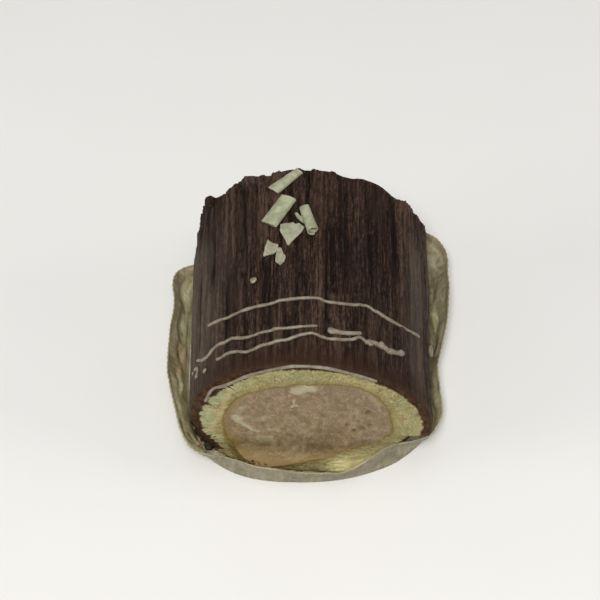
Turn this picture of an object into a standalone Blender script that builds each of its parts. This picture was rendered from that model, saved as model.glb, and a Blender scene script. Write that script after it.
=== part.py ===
"""Chocolate swiss roll in a fluted paper case.

A sheet of sponge is wrapped once round a thick core of mousse, and the roll is
cut at both ends. Chocolate covers it down to its two lower sides, combed into
ridges that run along the roll. White chocolate is drawn across the front in
strings, and curls and flakes of it lie on top, towards the back.

Frame: metres, +Z up. The origin is on the table, below the middle of the whole
piece. The roll lies along Y, and the cut end that shows best faces -Y.
"""

import math
import random

import bmesh
import bpy
from mathutils import Matrix, Vector, noise

MM = 0.001
GAP = 0.3 * MM                  # clearance kept between pieces that touch

# Roll, measured over its covering
ROLL_HALF_WIDTH = 34.8 * MM
ROLL_TOP = 59.7 * MM            # height above the table
ROLL_WIDEST = 30.2 * MM         # height at which the roll is widest
ROLL_SAG = 31.0 * MM            # lower half's height before it is pressed flat
ROLL_LENGTH = 62.0 * MM
CUT_SLANT = 0.064               # both cuts run back towards the left
FRONT_LEAN = 0.064              # the front cut comes forward towards its foot
FRONT_TUCK = 0.3 * MM           # the foot of the front cut is rounded back
FRONT_TUCK_HEIGHT = 10.0 * MM   # up to this height
CORNER_TUCK = 6.3 * MM          # and its lower right corner is pressed back by the paper
CORNER_FROM = 12.0 * MM         # from here to the right,
CORNER_WIDTH = 18.0 * MM        # fully after this width,
CORNER_HEIGHT = 26.0 * MM       # and below this height,
CORNER_FADE = 12.0 * MM         # fully after this depth
BACK_LEAN = 0.088               # the back cut runs back towards its top

# Chocolate covering
COVER_FROM, COVER_TO = -37.0, 217.0     # degrees round the roll, right foot to left foot
COVER_THICKNESS = ((-40, 1.5), (-12, 2.8), (14, 3.2), (43, 2.1), (65, 1.8), (98, 1.8), (115, 2.6),
                   (140, 3.9), (165, 3.5), (187, 2.5), (220, 1.5))
FOOT_MARGIN, FOOT_EASE = 1.5, 8.0       # degrees past a foot where the sponge swells out to the full roll
THINNEST = 0.45 * MM            # what a groove leaves of the covering
RIDGE_WIDTH = (1.7 * MM, 3.3 * MM)
CREST_PLACES = ((0.25, 0.40), (0.65, 0.80))     # where the two crests of a ridge stand across it
CREST_HEIGHT = 0.3 * MM
GROOVE_DEPTH = (0.15 * MM, 0.65 * MM)
COMB_SEED = 11
COMB_UNEVEN = 0.7
COMB_WANDER = 0.45              # degrees by which the ridges stray
SMOOTH_BAND = 3.0 * MM          # ridges fade out towards the front edge
SMOOTH_SHARE = 0.2              # and this much of them is left there
COVER_STATIONS = (0.0, 0.03, 0.12, 0.26, 0.42, 0.58, 0.74, 0.88, 0.96, 1.0)
# Deep grooves: degrees round the roll, start and end in mm from the front, extra depth in mm
DEEP_GROOVES = ((146, 30, 50, 0.7), (124, 38, 64, 0.6), (91, 48, 66, 0.5), (60, 20, 45, 0.4))
DEEP_GROOVE_SPREAD = 1.8        # degrees
DEEP_GROOVE_FADE = 6.0 * MM
# Lumps and dents at the back edge: degrees, mm from the front, spread in degrees and mm, height in mm
LUMPS = ((148.5, 60.2, 2.6, 2.2, 2.6), (122, 61.5, 4.0, 2.5, 1.0), (131, 60.0, 3.0, 3.0, 0.6),
         (104, 61.0, 3.5, 2.5, 0.5), (38, 61.0, 5.0, 3.0, 0.7), (172, 60.0, 12.0, 10.0, -1.4))
# Bites out of the back edge: degrees round the roll, spread in degrees, depth in mm
BROKEN_EDGE = ((156, 4, 1.8), (141, 6, 3.0), (128, 7, 1.8), (112, 9, 1.0), (72, 5, 0.9), (41, 9, 1.8),
               (25, 8, 1.2))

# Mousse core, seen from the front
CORE_CENTRE = (-1.2 * MM, 29.4 * MM)
CORE_HALF_WIDTH = 24.4 * MM
CORE_HALF_HEIGHT = 20.5 * MM
# Where the core is fuller or slimmer: degrees round it, spread in degrees, mm outwards
CORE_SWELLS = ((132, 14, 2.3), (55, 28, 3.2), (-55, 15, -3.0), (-116, 25, 9.4))
CORE_LOWEST = 2.2 * MM          # it sinks no lower than this, on its bed of sponge
CUT_RELIEF = 0.35 * MM          # unevenness of the cut faces
CUT_GRAIN = 6.0 * MM
SPONGE_SEED, MOUSSE_SEED = 1.0, 7.0

# White chocolate strings: degrees round the roll, and mm from its front edge;
# below zero, mm inwards over the front cut
STRING_RADIUS = 0.5 * MM
STRING_ROOT = 2.0               # how much deeper than round a string's lower half reaches
STRING_STEP = 2.4 * MM
STRING_LIFT = 0.25 * MM
STRING_TIP = 0.45               # a string's thickness at its ends
STRING_UNEVEN = 0.25
STRING_SIDES = 6
STRING_GRAIN = 4.0 * MM
STRING_EDGE = 1.0               # mm from the front edge where a string starts to turn over it
STRING_TURN = 1.5               # and how far it turns towards the front
STRINGS = {
    "back": ((148, 18.4), (132, 18.3), (115, 19.0), (98, 20.5), (88, 20.9), (84, 20.2),
             (70, 20.6), (63, 21.4), (58, 20.6), (51, 19.5), (25, 20.5)),
    "middle": ((158, 10.4), (149, 8.8), (140, 10.4), (131, 11.1), (120, 10.1), (111, 10.9),
               (104, 11.5), (86, 12.5)),
    "stub": ((81, 11.6), (75, 11.9), (66, 12.6)),
    "front": ((140, 6.2), (129, 6.8), (120, 5.8), (111, 7.0), (102, 8.0), (89, 10.0), (84, 8.9),
              (71, 9.8), (66, 11.0), (63, 10.1), (55, 10.1), (51, 9.6), (43, 11.0)),
    "edge": ((164, -2.4), (152, -2.5), (141, -2.6), (130, -2.4), (115, -1.5), (103, -0.4), (93, 0.2),
             (86, 0.5), (71, 0.4), (59, 0.6)),
}
# Drops of the same: degrees, mm from the front, radius in mm
DROPS = ((149, 5.0, 0.8), (157, 5.4, 0.8), (161, 8.0, 0.6), (81, 11.6, 0.85), (58, 10.7, 0.8),
         (45, 10.8, 0.8), (19, 17.5, 0.9), (118, 27.3, 0.8))

# Curls: degrees round the roll, mm from the front, heading in degrees from +X, length in mm,
# radii in mm and slants of its near and its far end
CURLS = {
    "curl_1": (101.0, 57.2, 41.0, 10.0, (1.95, 1.30), (0.27, 0.0)),
    "curl_2": (104.0, 47.4, 57.0, 9.8, (2.40, 2.30), (0.17, 0.34)),
    "curl_3": (91.0, 44.9, 107.0, 8.0, (1.75, 1.35), (0.0, 0.0)),
}
CURL_SHEET = 0.6 * MM           # thickness of the rolled sheet
CURL_TURNS = 1.3
CURL_START = 235.0              # degrees; the sheet's outer edge is low on the right
CURL_OUTSIDE, CURL_INSIDE = 0.96, 0.42      # shares of the radius at the two ends of the sheet
CURL_STEPS = 14
# Flakes: degrees round the roll, mm from the front, tilt in degrees, bend per mm, outline in mm
FLAKES = {
    "flake": (97.5, 41.2, 8.0, 0.055,
              ((-3.4, 2.4), (-1.8, 2.6), (0.4, 3.1), (1.6, 2.7), (2.4, 1.9), (3.2, 0.2),
               (1.4, -1.5), (0.0, -2.7), (-1.0, -4.0), (-1.5, -4.1), (-2.2, -2.4), (-3.5, -0.2))),
    "shard_1": (109.0, 35.8, -10.0, 0.04,
                ((-0.6, 2.8), (0.7, 1.4), (1.2, 0.9), (0.7, -1.2), (-0.2, -1.9), (-1.3, -2.4), (-1.8, -2.1),
                 (-1.1, 1.0))),
    "shard_2": (104.0, 33.6, 12.0, 0.04,
                ((0.0, 3.0), (0.9, 1.5), (1.5, -0.5), (1.3, -1.1), (-0.2, -3.0), (-0.8, -2.2), (-1.4, -1.0),
                 (-0.9, 0.4), (-0.5, 2.6))),
}
FLAKE_THICKNESS = 0.7 * MM

# Paper case
PAPER = 0.45 * MM
CASE_BASE = (36.6 * MM, 38.3 * MM)      # half-width and half-length on the table
CASE_RIM = (41.2 * MM, 42.6 * MM)       # the same at the rim
CASE_SQUARENESS = 3.0                   # 2 is an ellipse, more is squarer
CASE_HEIGHT = 15.0 * MM
CASE_OFFSET = -0.6 * MM                 # the case is a little to the left of the roll
FLUTES = 88
FLUTE_DEPTH = (0.12 * MM, 0.60 * MM)    # at the foot and at the rim
# Places where the foot is pushed out or in: degrees, spread in degrees, mm outwards
FOOT_PUSHES = ((-36, 8, 1.2), (-58, 17, -1.5), (-66, 25, -0.6), (-114, 11, -0.7))
# Places where the rim is pushed out or in: degrees, spread in degrees, mm outwards, mm upwards
RIM_PUSHES = ((41, 16.5, 7.6, 1.2), (19, 9.5, 1.5, 1.5), (-12, 11, -2.1, -1.0), (-37, 12, 1.1, -3.4),
              (-54, 15, -5.4, -0.7), (-119, 21, -2.0, 2.0), (-135, 10, 2.4, -1.3), (177, 28, 0.9, -0.2),
              (166, 7.5, -0.6, 0.1), (147, 7, 3.5, -2.0), (126, 17.5, -3.0, -2.6))


def clear_scene():
    for item in list(bpy.data.objects):
        bpy.data.objects.remove(item, do_unlink=True)


def finish(name, color, roughness):
    """One Principled material."""
    material = bpy.data.materials.new(name)
    material.use_nodes = True
    shader = material.node_tree.nodes["Principled BSDF"]
    shader.inputs["Base Color"].default_value = (*color, 1.0)
    shader.inputs["Roughness"].default_value = roughness
    return material


def make_object(name, mesh_data, material):
    """Close a bmesh into a named object with outward faces."""
    bmesh.ops.recalc_face_normals(mesh_data, faces=mesh_data.faces)
    mesh = bpy.data.meshes.new(name)
    mesh_data.to_mesh(mesh)
    mesh_data.free()
    mesh.materials.append(material)
    piece = bpy.data.objects.new(name, mesh)
    bpy.context.collection.objects.link(piece)
    return piece


def add_rings(mesh_data, rings):
    """Add rings of points as vertices."""
    return [[mesh_data.verts.new(point) for point in ring] for ring in rings]


def bridge(mesh_data, ring_a, ring_b, closed=True):
    """Join two rings of vertices with quads."""
    count = len(ring_a)
    for i in range(count if closed else count - 1):
        j = (i + 1) % count
        mesh_data.faces.new((ring_a[i], ring_a[j], ring_b[j], ring_b[i]))


def smooth_step(value):
    value = min(max(value, 0.0), 1.0)
    return value * value * (3.0 - 2.0 * value)


def from_table(table, position):
    """Value of a table of (position, value) pairs, eased between its rows."""
    for (start, low), (end, high) in zip(table, table[1:]):
        if position <= end:
            return low + (high - low) * smooth_step((position - start) / (end - start))
    return table[-1][1]


def bump(distance, spread):
    return math.exp(-(distance / spread) ** 2)


def angle_apart(angle, place):
    return (angle - place + 180) % 360 - 180


# ---------------------------------------------------------------- the roll's form

def section(angle, inset=0.0):
    """X and Z of the roll's cross-section at an angle in degrees from +X towards +Z."""
    turn = math.radians(angle)
    half_height = ROLL_TOP - ROLL_WIDEST if math.sin(turn) > 0 else ROLL_SAG
    x = (ROLL_HALF_WIDTH - inset) * math.cos(turn)
    z = ROLL_WIDEST + (half_height - inset) * math.sin(turn)
    return x, max(z, PAPER + GAP)


def broken_edge(x, z):
    """How far the back cut is bitten away at a point of the cross-section."""
    across = x / ROLL_HALF_WIDTH
    upward = (z - ROLL_WIDEST) / (ROLL_TOP - ROLL_WIDEST)
    angle = math.degrees(math.atan2(upward, across))
    nearness = min(math.hypot(across, upward), 1.0) ** 3
    return nearness * sum(depth * MM * bump(angle - place, spread) for place, spread, depth in BROKEN_EDGE)


def lay(x, z, along):
    """World point of a cross-section point, from along 0 at the front cut to 1 at the back cut."""
    tuck = FRONT_TUCK * smooth_step(1.0 - z / FRONT_TUCK_HEIGHT)
    rightward = smooth_step((x - CORNER_FROM) / CORNER_WIDTH)
    tuck += CORNER_TUCK * rightward * smooth_step((CORNER_HEIGHT - z) / CORNER_FADE)
    front = -ROLL_LENGTH / 2 - CUT_SLANT * x - FRONT_LEAN * (ROLL_TOP - z) + tuck
    back = ROLL_LENGTH / 2 - CUT_SLANT * x + BACK_LEAN * (z - ROLL_WIDEST) - broken_edge(x, z)
    return Vector((x, front + (back - front) * along, z))


def on_roll(angle, distance, lift=0.0):
    """World point on the covering, distance from the front edge, raised by lift.

    Below zero the distance runs inwards over the front cut.
    """
    if distance < 0:
        x, z = section(angle, -distance)
        return lay(x, z, 0.0) - Vector((0, lift, 0))
    x, z = section(angle, -lift)
    return lay(x, z, distance / ROLL_LENGTH)


def surface_frame(angle, distance):
    """Directions across the roll, along it and outwards at a point of its surface."""
    across = (on_roll(angle - 1, distance) - on_roll(angle + 1, distance)).normalized()
    along = Vector((0, 1, 0))
    outward = across.cross(along).normalized()
    return across, along, outward


def ripple(point, scale, seed):
    return noise.noise(Vector((point[0] / scale, point[1] / scale, point[2] / scale + seed)))


# ---------------------------------------------------------------- sponge and mousse

def core_point(angle, margin=0.0):
    """X and Z on the border of the mousse, margin further out."""
    turn = math.radians(angle)
    swell = sum(out * MM * bump(angle_apart(angle, place), spread) for place, spread, out in CORE_SWELLS)
    x = CORE_CENTRE[0] + (CORE_HALF_WIDTH + swell + margin) * math.cos(turn)
    z = CORE_CENTRE[1] + (CORE_HALF_HEIGHT + swell + margin) * math.sin(turn)
    return x, max(z, CORE_LOWEST - margin)


def cover_thickness(angle):
    return from_table(COVER_THICKNESS, angle) * MM


def sponge_outline(angle):
    """Outer line of the sponge: under the covering, and out to the roll's own line below its feet."""
    past_foot = max(COVER_FROM - angle, angle - COVER_TO)
    reach = smooth_step((past_foot - FOOT_MARGIN) / FOOT_EASE)
    under_cover = cover_thickness(angle) + GAP
    return section(angle, under_cover + (GAP - under_cover) * reach)


def cut_face_point(x, z, along, seed):
    """Point of a cut face, a little proud or sunk."""
    point = lay(x, z, along)
    relief = CUT_RELIEF * ripple(point, CUT_GRAIN, seed)
    return point + Vector((0, relief, 0))


def build_sponge(material):
    columns = 72
    angles = [-90 + 360 * i / columns for i in range(columns)]
    outer = [sponge_outline(a) for a in angles]
    inner = [core_point(a, GAP) for a in angles]
    face_steps = (0.0, 0.33, 0.68, 1.0)
    rings = []
    for along, steps in ((0.0, face_steps), (1.0, face_steps[::-1])):
        for step in steps:
            ring = []
            for (x_in, z_in), (x_out, z_out) in zip(inner, outer):
                x, z = x_in + (x_out - x_in) * step, z_in + (z_out - z_in) * step
                ring.append(cut_face_point(x, z, along, SPONGE_SEED + along))
            rings.append(ring)
        if along == 0.0:
            for middle in (0.2, 0.5, 0.8):
                rings.append([lay(x, z, middle) for x, z in outer])
    mesh_data = bmesh.new()
    loops = add_rings(mesh_data, rings)
    for ring_a, ring_b in zip(loops, loops[1:] + loops[:1]):
        bridge(mesh_data, ring_a, ring_b)
    return make_object("sponge", mesh_data, material)


def build_filling(material):
    columns = 48
    angles = [360 * i / columns for i in range(columns)]
    outline = [core_point(a) for a in angles]
    mesh_data = bmesh.new()
    side_rings = []
    for along in (0.0, 1.0):
        rings = []
        for share in (1.0, 0.7, 0.38):
            ring = []
            for x_out, z_out in outline:
                x = CORE_CENTRE[0] + (x_out - CORE_CENTRE[0]) * share
                z = CORE_CENTRE[1] + (z_out - CORE_CENTRE[1]) * share
                ring.append(cut_face_point(x, z, along, MOUSSE_SEED + along))
            rings.append(ring)
        loops = add_rings(mesh_data, rings)
        bridge(mesh_data, loops[0], loops[1])
        bridge(mesh_data, loops[1], loops[2])
        mesh_data.faces.new(loops[2])
        side_rings.append(loops[0])
    bridge(mesh_data, *side_rings)
    return make_object("filling", mesh_data, material)


# ---------------------------------------------------------------- covering

def comb_columns():
    """Angle and height of each groove and crest across the covering, right foot to left foot."""
    draw = random.Random(COMB_SEED)
    columns = [(COVER_FROM, 0.0)]
    angle = COVER_FROM
    while True:
        turn = math.radians(angle)
        radius = math.hypot(ROLL_HALF_WIDTH * math.sin(turn), (ROLL_TOP - ROLL_WIDEST) * math.cos(turn))
        width = math.degrees(draw.uniform(*RIDGE_WIDTH) / radius)
        if angle + width > COVER_TO - 2.0:
            break
        for places in CREST_PLACES:
            columns.append((angle + width * draw.uniform(*places), CREST_HEIGHT * draw.uniform(0.1, 1.0)))
        columns.append((angle + width, -draw.uniform(*GROOVE_DEPTH)))
        angle += width
    columns.append((COVER_TO, 0.0))
    return columns


def cover_height(angle, height, along):
    """Height of the covering's surface over the roll's smooth form."""
    distance = along * ROLL_LENGTH
    fade = SMOOTH_SHARE + (1.0 - SMOOTH_SHARE) * smooth_step(distance / SMOOTH_BAND)
    stroke = 1.0 + COMB_UNEVEN * noise.noise(Vector((angle / 3.2, along * 4.0, 3.0)))
    result = height * fade * stroke
    if height < 0:
        for place, start, end, depth in DEEP_GROOVES:
            inside = smooth_step((distance - start * MM) / DEEP_GROOVE_FADE)
            inside *= smooth_step((end * MM - distance) / DEEP_GROOVE_FADE)
            result -= depth * MM * bump(angle - place, DEEP_GROOVE_SPREAD) * inside
    for place, where, spread, reach, tall in LUMPS:
        result += tall * MM * bump(angle - place, spread) * bump(distance - where * MM, reach * MM)
    return max(result, THINNEST - cover_thickness(angle))


def build_covering(material):
    columns = comb_columns()
    outer_rings = []
    for along in COVER_STATIONS:
        ring = []
        for angle, height in columns:
            wander = COMB_WANDER * noise.noise(Vector((angle / 8.0, along * 3.0, 9.0)))
            edge = angle in (COVER_FROM, COVER_TO)
            moved = angle if edge else angle + wander
            x, z = section(moved, -cover_height(moved, height, along))
            ring.append(lay(x, z, along))
        outer_rings.append(ring)
    inner_rings = []
    for along in (COVER_STATIONS[0], COVER_STATIONS[-1]):
        inner_rings.append([lay(*section(angle, cover_thickness(angle)), along) for angle, _ in columns])
    mesh_data = bmesh.new()
    outer = add_rings(mesh_data, outer_rings)
    front_inner, back_inner = add_rings(mesh_data, inner_rings)
    for ring_a, ring_b in zip(outer, outer[1:]):
        bridge(mesh_data, ring_a, ring_b, closed=False)
    bridge(mesh_data, front_inner, back_inner, closed=False)
    bridge(mesh_data, outer[0], front_inner, closed=False)
    bridge(mesh_data, outer[-1], back_inner, closed=False)
    for end in (0, -1):
        foot = [ring[end] for ring in outer]
        mesh_data.faces.new(foot + [back_inner[end], front_inner[end]])
    return make_object("chocolate_covering", mesh_data, material)


def spline(before, start, end, after, t):
    """Value on a smooth curve from start, at t = 0, to end, at t = 1."""
    square = 2 * before - 5 * start + 4 * end - after
    cube = 3 * start - before - 3 * end + after
    return 0.5 * (2 * start + (end - before) * t + square * t ** 2 + cube * t ** 3)


def curve_through(points, step):
    """Evenly spaced points on a smooth curve through (angle, distance) pairs."""
    ends = [points[0]] + list(points) + [points[-1]]
    result = []
    for before, start, end, after in zip(ends, ends[1:], ends[2:], ends[3:]):
        span = (on_roll(start[0], start[1] * MM) - on_roll(end[0], end[1] * MM)).length
        pieces = max(1, round(span / step))
        for i in range(pieces):
            t = i / pieces
            result.append(tuple(spline(*corners, t) for corners in zip(before, start, end, after)))
    result.append(points[-1])
    return result


def build_string(name, points, material):
    """One string of white chocolate, half sunk in the covering."""
    path = curve_through(points, STRING_STEP)
    centres = [on_roll(angle, distance * MM, STRING_LIFT) for angle, distance in path]
    rings = []
    for i, centre in enumerate(centres):
        ahead = centres[min(i + 1, len(centres) - 1)] - centres[max(i - 1, 0)]
        angle, distance = path[i]
        outward = surface_frame(angle, max(distance, 0.0) * MM)[2]
        if distance < STRING_EDGE:      # over the front edge, the string turns its back to the front
            outward += Vector((0, -1, 0)) * min(STRING_EDGE - distance, STRING_TURN)
            outward.normalize()
        sideways = ahead.cross(outward).normalized()
        upward = sideways.cross(ahead).normalized()
        tip = STRING_TIP if i in (0, len(centres) - 1) else 1.0
        radius = STRING_RADIUS * tip * (1.0 + STRING_UNEVEN * noise.noise(centre / STRING_GRAIN))
        ring = []
        for k in range(STRING_SIDES):
            turn = 2 * math.pi * k / STRING_SIDES
            rise = math.sin(turn) * (1.0 if math.sin(turn) > 0 else STRING_ROOT)
            ring.append(centre + (sideways * math.cos(turn) + upward * rise) * radius)
        rings.append(ring)
    mesh_data = bmesh.new()
    loops = add_rings(mesh_data, rings)
    for ring_a, ring_b in zip(loops, loops[1:]):
        bridge(mesh_data, ring_a, ring_b)
    mesh_data.faces.new(loops[0])
    mesh_data.faces.new(loops[-1])
    return make_object(name, mesh_data, material)


def build_drop(name, angle, distance, radius, material):
    """A small round drop of white chocolate."""
    mesh_data = bmesh.new()
    bmesh.ops.create_icosphere(mesh_data, subdivisions=1, radius=radius)
    bmesh.ops.translate(mesh_data, verts=mesh_data.verts, vec=on_roll(angle, distance))
    return make_object(name, mesh_data, material)


def keep_largest_body(mesh):
    """Fill hollows that the union sealed and drop loose scraps."""
    mesh_data = bmesh.new()
    mesh_data.from_mesh(mesh)
    left = set(mesh_data.verts)
    bodies = []
    while left:
        body = {left.pop()}
        edge_of_body = list(body)
        while edge_of_body:
            vert = edge_of_body.pop()
            for edge in vert.link_edges:
                other = edge.other_vert(vert)
                if other in left:
                    left.remove(other)
                    body.add(other)
                    edge_of_body.append(other)
        bodies.append(body)
    bodies.sort(key=len)
    for body in bodies[:-1]:
        bmesh.ops.delete(mesh_data, geom=list(body), context="VERTS")
    mesh_data.to_mesh(mesh)
    mesh_data.free()


def fuse(base, pieces):
    """Join pieces to the base with one union, and drop the pieces."""
    group = bpy.data.collections.new("white_strings")
    bpy.context.scene.collection.children.link(group)
    for piece in pieces:
        bpy.context.collection.objects.unlink(piece)
        group.objects.link(piece)
    union = base.modifiers.new("white_strings", "BOOLEAN")
    union.operation = "UNION"
    union.operand_type = "COLLECTION"
    union.collection = group
    union.solver = "EXACT"
    depsgraph = bpy.context.evaluated_depsgraph_get()
    joined = bpy.data.meshes.new_from_object(base.evaluated_get(depsgraph))
    base.modifiers.clear()
    keep_largest_body(joined)
    base.data = joined
    for piece in pieces:
        bpy.data.objects.remove(piece, do_unlink=True)
    bpy.data.collections.remove(group)


# ---------------------------------------------------------------- curls and flakes

def build_curl(name, angle, distance, heading, length, radii, slants, material):
    """A sheet of white chocolate rolled into a tapering scroll, lying on the covering."""
    distance, length = distance * MM, length * MM
    across, along, outward = surface_frame(angle, distance)
    turn = math.radians(heading)
    axis = across * math.cos(turn) + along * math.sin(turn)
    side = outward.cross(axis)
    foot = on_roll(angle, distance) + outward * (CREST_HEIGHT + 2 * GAP)
    rings = []
    for share in (0.0, 0.33, 0.67, 1.0):
        radius = (radii[0] + (radii[1] - radii[0]) * share) * MM
        slant = slants[0] + (slants[1] - slants[0]) * share
        centre = foot + outward * radius + axis * length * (share - 0.5)
        ring = []
        for inset in (0.0, CURL_SHEET):
            line = []
            for i in range(CURL_STEPS):
                wind = i / (CURL_STEPS - 1)
                bend = math.radians(CURL_START + 360 * CURL_TURNS * wind)
                reach = radius * (CURL_OUTSIDE + (CURL_INSIDE - CURL_OUTSIDE) * wind) - inset
                beside = reach * math.cos(bend)
                line.append(centre + side * beside - axis * slant * beside + outward * math.sin(bend) * reach)
            ring.extend(line if inset == 0.0 else line[::-1])
        rings.append(ring)
    mesh_data = bmesh.new()
    loops = add_rings(mesh_data, rings)
    for ring_a, ring_b in zip(loops, loops[1:]):
        bridge(mesh_data, ring_a, ring_b)
    for loop in (loops[0], loops[-1]):
        bridge(mesh_data, loop[:CURL_STEPS], loop[:CURL_STEPS - 1:-1], closed=False)
    return make_object(name, mesh_data, material)


def build_flake(name, angle, distance, tilt, bend, outline, material):
    """A thin bent flake of white chocolate, tilted off the covering."""
    distance = distance * MM
    across, along, outward = surface_frame(angle, distance)
    centre = on_roll(angle, distance) + outward * (CREST_HEIGHT + 2 * GAP)
    slope = math.tan(math.radians(tilt))
    lowest = min(slope * u + bend * u * u for u, _ in outline)
    mesh_data = bmesh.new()
    rims = []
    for top in (0.0, FLAKE_THICKNESS):
        rings = []
        for share in (1.0, 0.5):
            ring = []
            for u, v in outline:
                u, v = u * share, v * share
                rise = (slope * u + bend * u * u - min(lowest, 0.0)) * MM
                ring.append(centre + across * u * MM + along * v * MM + outward * (rise + top))
            rings.append(ring)
        loops = add_rings(mesh_data, rings)
        bridge(mesh_data, *loops)
        mesh_data.faces.new(loops[1])
        rims.append(loops[0])
    bridge(mesh_data, *rims)
    return make_object(name, mesh_data, material)


# ---------------------------------------------------------------- paper case

def case_plan(angle, half_sizes):
    """Radius of the case's plan, a rounded square, at an angle in degrees."""
    turn = math.radians(angle)
    x = abs(math.cos(turn)) / half_sizes[0]
    y = abs(math.sin(turn)) / half_sizes[1]
    return (x ** CASE_SQUARENESS + y ** CASE_SQUARENESS) ** (-1 / CASE_SQUARENESS)


def case_point(angle, flute, share, inset):
    """Point of the case's wall: share 0 at its foot and 1 at its rim, inset by the paper's thickness."""
    pushed = sum(out * MM * bump(angle_apart(angle, place), spread) for place, spread, out, _ in RIM_PUSHES)
    raised = sum(up * MM * bump(angle_apart(angle, place), spread) for place, spread, _, up in RIM_PUSHES)
    foot = case_plan(angle, CASE_BASE)
    foot += sum(out * MM * bump(angle_apart(angle, place), spread) for place, spread, out in FOOT_PUSHES)
    rim = case_plan(angle, CASE_RIM) + pushed
    depth = FLUTE_DEPTH[0] + (FLUTE_DEPTH[1] - FLUTE_DEPTH[0]) * share
    radius = foot + (rim - foot) * share + flute * depth - inset
    turn = math.radians(angle)
    height = share * (CASE_HEIGHT + raised)
    return Vector((CASE_OFFSET + radius * math.cos(turn), radius * math.sin(turn), height))


def build_case(material):
    # each flute is one fold out and one fold in
    columns = [(180 * i / FLUTES, -1.0 if i % 2 else 0.0) for i in range(2 * FLUTES)]
    shares = (0.0, 0.12, 0.5, 1.0)
    outer_rings = [[case_point(a, f, share, 0.0) for a, f in columns] for share in shares]
    inner_rings = []
    for share in shares[:0:-1]:
        inner_rings.append([case_point(a, f, share, PAPER) for a, f in columns])
    floor_ring = []
    for a, f in columns:
        point = case_point(a, f, 0.0, 1.6 * PAPER)
        point.z = PAPER
        floor_ring.append(point)
    inner_rings.append(floor_ring)
    mesh_data = bmesh.new()
    loops = add_rings(mesh_data, outer_rings + inner_rings)
    for ring_a, ring_b in zip(loops, loops[1:]):
        bridge(mesh_data, ring_a, ring_b)
    mesh_data.faces.new(loops[0])
    mesh_data.faces.new(loops[-1])
    return make_object("paper_case", mesh_data, material)


def centre_on_origin():
    """Move every piece alike, so that the middle of the whole is above the origin."""
    pieces = [item for item in bpy.data.objects if item.type == "MESH"]
    points = [vert.co for piece in pieces for vert in piece.data.vertices]
    middle = Vector()
    for axis in (0, 1):
        middle[axis] = (min(p[axis] for p in points) + max(p[axis] for p in points)) / 2
    for piece in pieces:
        piece.data.transform(Matrix.Translation(-middle))


def build():
    clear_scene()
    chocolate = finish("chocolate", (0.050, 0.030, 0.022), 0.42)
    sponge = finish("sponge", (0.430, 0.350, 0.150), 0.90)
    mousse = finish("mousse", (0.270, 0.190, 0.105), 0.60)
    white = finish("white_chocolate", (0.520, 0.490, 0.340), 0.45)
    paper = finish("paper", (0.400, 0.370, 0.250), 0.80)

    build_case(paper)
    build_sponge(sponge)
    build_filling(mousse)
    covering = build_covering(chocolate)
    strings = [build_string(f"string_{name}", points, white) for name, points in STRINGS.items()]
    drops = [build_drop(f"drop_{i}", angle, distance * MM, radius * MM, white)
             for i, (angle, distance, radius) in enumerate(DROPS)]
    fuse(covering, strings + drops)
    for name, shape in CURLS.items():
        build_curl(name, *shape, white)
    for name, shape in FLAKES.items():
        build_flake(name, *shape, white)
    centre_on_origin()


build()
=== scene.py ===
"""Looks of a chocolate swiss roll in its pleated paper case.

The roll is modelled straight first, lying along Y with its front cut at the low
end of Y, and then all of it is laid into the slant that its two cuts have. Metres, +Z up.
"""

import math

import bpy
from mathutils import Matrix, Vector, kdtree, noise


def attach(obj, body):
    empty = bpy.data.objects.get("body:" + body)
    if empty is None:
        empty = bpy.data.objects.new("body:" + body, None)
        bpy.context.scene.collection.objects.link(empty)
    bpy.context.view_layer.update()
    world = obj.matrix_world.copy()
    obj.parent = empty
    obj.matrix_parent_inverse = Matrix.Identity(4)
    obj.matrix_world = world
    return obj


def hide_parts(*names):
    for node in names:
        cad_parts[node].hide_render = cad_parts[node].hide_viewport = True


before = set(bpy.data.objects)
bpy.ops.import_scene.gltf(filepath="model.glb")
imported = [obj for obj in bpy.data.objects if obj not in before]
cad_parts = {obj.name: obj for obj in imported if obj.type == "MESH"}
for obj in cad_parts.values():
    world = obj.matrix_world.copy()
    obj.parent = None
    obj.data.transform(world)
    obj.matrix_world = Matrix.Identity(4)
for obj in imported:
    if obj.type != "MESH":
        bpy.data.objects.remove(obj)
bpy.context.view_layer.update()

MM = 0.001
CENTRING = Vector((-0.18, -0.107, 0.0)) * MM    # the frame's origin is below the middle of the whole

# Photograph's view
VIEW_ELEVATION = 60.0
VIEW_DISTANCE = 0.6
VIEW_PIXELS = 600.0
VIEW_FOCAL_PIXELS = 2046.0                      # focal length in pixels of the photograph
VIEW_TARGET = Vector((0.0, 0.0, 30.0 * MM)) + CENTRING
VIEW_TARGET_PIXEL = (310.5, 321.0)              # where the target stands in the photograph
SENSOR_WIDTH = 36.0

# Soft lamps: place, size and power
LAMPS = {
    "soft_key": ((-0.05, -0.42, 0.90), 0.20, 6.0),
    "soft_top": ((0.0, -0.20, 0.96), 0.35, 1.0),
    "soft_left": ((-0.78, -0.20, 0.48), 0.4, 1.7),
    "soft_right": ((0.80, -0.10, 0.45), 0.4, 1.6),
}
LAMPS_AIM = Vector((0, 0, 0.03))
SKY_STRENGTH = 0.30

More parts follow.
